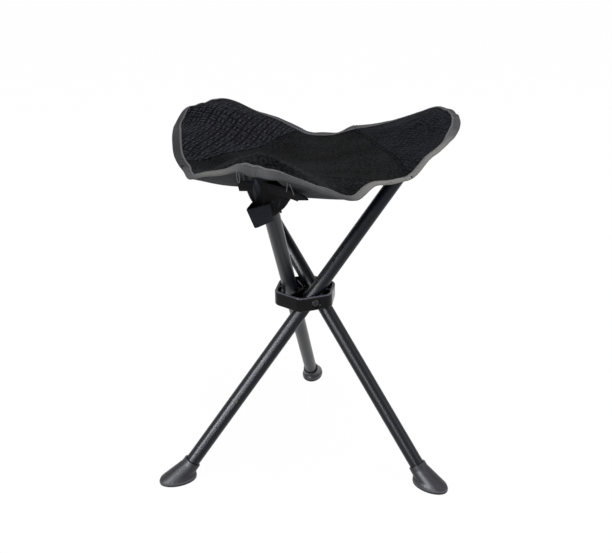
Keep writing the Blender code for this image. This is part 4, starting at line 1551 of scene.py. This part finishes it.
# %% [markdown]
# Between the tubes a dark core is added on the hub's axis, in the hub's finish, with three webs out to the
# ring that pass clear of the legs as they swing. It closes the view through the hub, so the inside of the
# hub shows dark. It is drawn as a flat star and given its height and its rounded edges by a curve's bevel.

# %% Hub dark fill
CORE_RADIUS = 0.0030
CORE_HALF_HEIGHT = 0.0062
CORE_EDGE = 0.0004
CORE_CORNER = (0.64 * CORE_RADIUS, -0.77 * CORE_RADIUS)
ARM_HALF_WIDTH = 0.0006
ARM_END = 0.0288
ARM_ROOT = 0.0048
ARM_TURN = math.pi / 3
CORE_MERGE = 0.00001


def hub_core():
    """A star of three thin arms, each between two corners of the core."""
    arm = [CORE_CORNER, (ARM_ROOT, -ARM_HALF_WIDTH), (ARM_END, -ARM_HALF_WIDTH)]
    arm += [(along, -wide) for along, wide in arm[::-1]]
    spots = []
    for leg in legs.values():
        out = Matrix.Rotation(ARM_TURN, 3, "Z") @ leg.e
        for along, wide in arm:
            spot = HUB_AXIS + out * along + UP.cross(out) * wide
            spots.append((spot.x, spot.y, 0.0))
    curve = poly_curve("hub_core", "2D", spots, CORE_EDGE, 2)
    curve.fill_mode = "BOTH"
    curve.extrude = CORE_HALF_HEIGHT - CORE_EDGE
    curve.splines[0].use_cyclic_u = True
    mesh = plain_mesh("hub_core", bpy.data.objects.new("hub_core_guide", curve))
    mesh.transform(Matrix.Translation((0.0, 0.0, HUB_AXIS.z)))
    face_out(mesh, merge=CORE_MERGE)
    return add_object("hub_core", mesh, HARD_FINISHES["hub_ring"])


core = hub_core()
print("hub core", len(core.data.polygons), "faces at", round(HUB_AXIS.z, 4))

# %% [markdown]
# Last, every piece is tied to the body that carries it. Cloth and stitches ride on their leg, and the plain
# solids that the soft pieces replace are hidden.

# %% Tie the pieces to the bodies
FLAT_TURNS = 46
FLAT_FILL = 0.995


def carry(piece, letter, number):
    """Tie a gore, or what is sewn to it, to its leg."""
    leg = legs[letter]
    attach(piece, leg.body)
    axis, anchor = gore_fold[letter, number]
    tuple(axis)
    tuple(anchor)
    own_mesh(piece)


def flat_size(piece):
    """Width, length and area of a piece's cut: the smallest box round its plan, and half of its surface."""
    mesh = piece.data
    area = sum(polygon.area for polygon in mesh.polygons) / 2
    spots = np.array([vertex.co for vertex in mesh.vertices])[:, :2]
    sizes = []
    for turn in np.linspace(0.0, math.pi / 2, FLAT_TURNS):
        c, s = math.cos(turn), math.sin(turn)
        sizes.append((np.ptp(spots[:, 0] * c + spots[:, 1] * s), np.ptp(spots[:, 1] * c - spots[:, 0] * s)))
    width, length = min(sizes, key=lambda size: size[0] * size[1])
    grow = max(1.0, area / (FLAT_FILL * width * length))
    return float(width), float(length * grow), float(area)


for piece, letter, number, kind in cloth_pieces:
    width, length, area = flat_size(piece)
    carry(piece, letter, number)
    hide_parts("seat_panel" if kind == "seat_panel" else "corner_patch_" + letter)
for piece, letter, number in tape_pieces:
    carry(piece, letter, number)
    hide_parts("edge_binding")
for piece, letter, number in stitch_pieces:
    carry(piece, letter, number)
for piece, letter, number in lining_pieces:
    width, length, area = flat_size(piece)
    carry(piece, letter, number)
    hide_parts("leg_pocket_" + letter)
for letter, leg in legs.items():
    for piece, node, slot in ((pocket_pieces[letter], "leg_pocket_", "pocket_cloth"),
                              (web_pieces[letter], "pocket_webbing_", "webbing")):
        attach(piece, leg.body)
        tuple(leg.e)
        tuple(leg.tip)
        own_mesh(piece)
        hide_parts(node + letter)
for piece in loose_pieces:
    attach(piece, "leg_b")
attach(core, "hub")
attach(strap, "leg_b")
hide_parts("closing_strap")
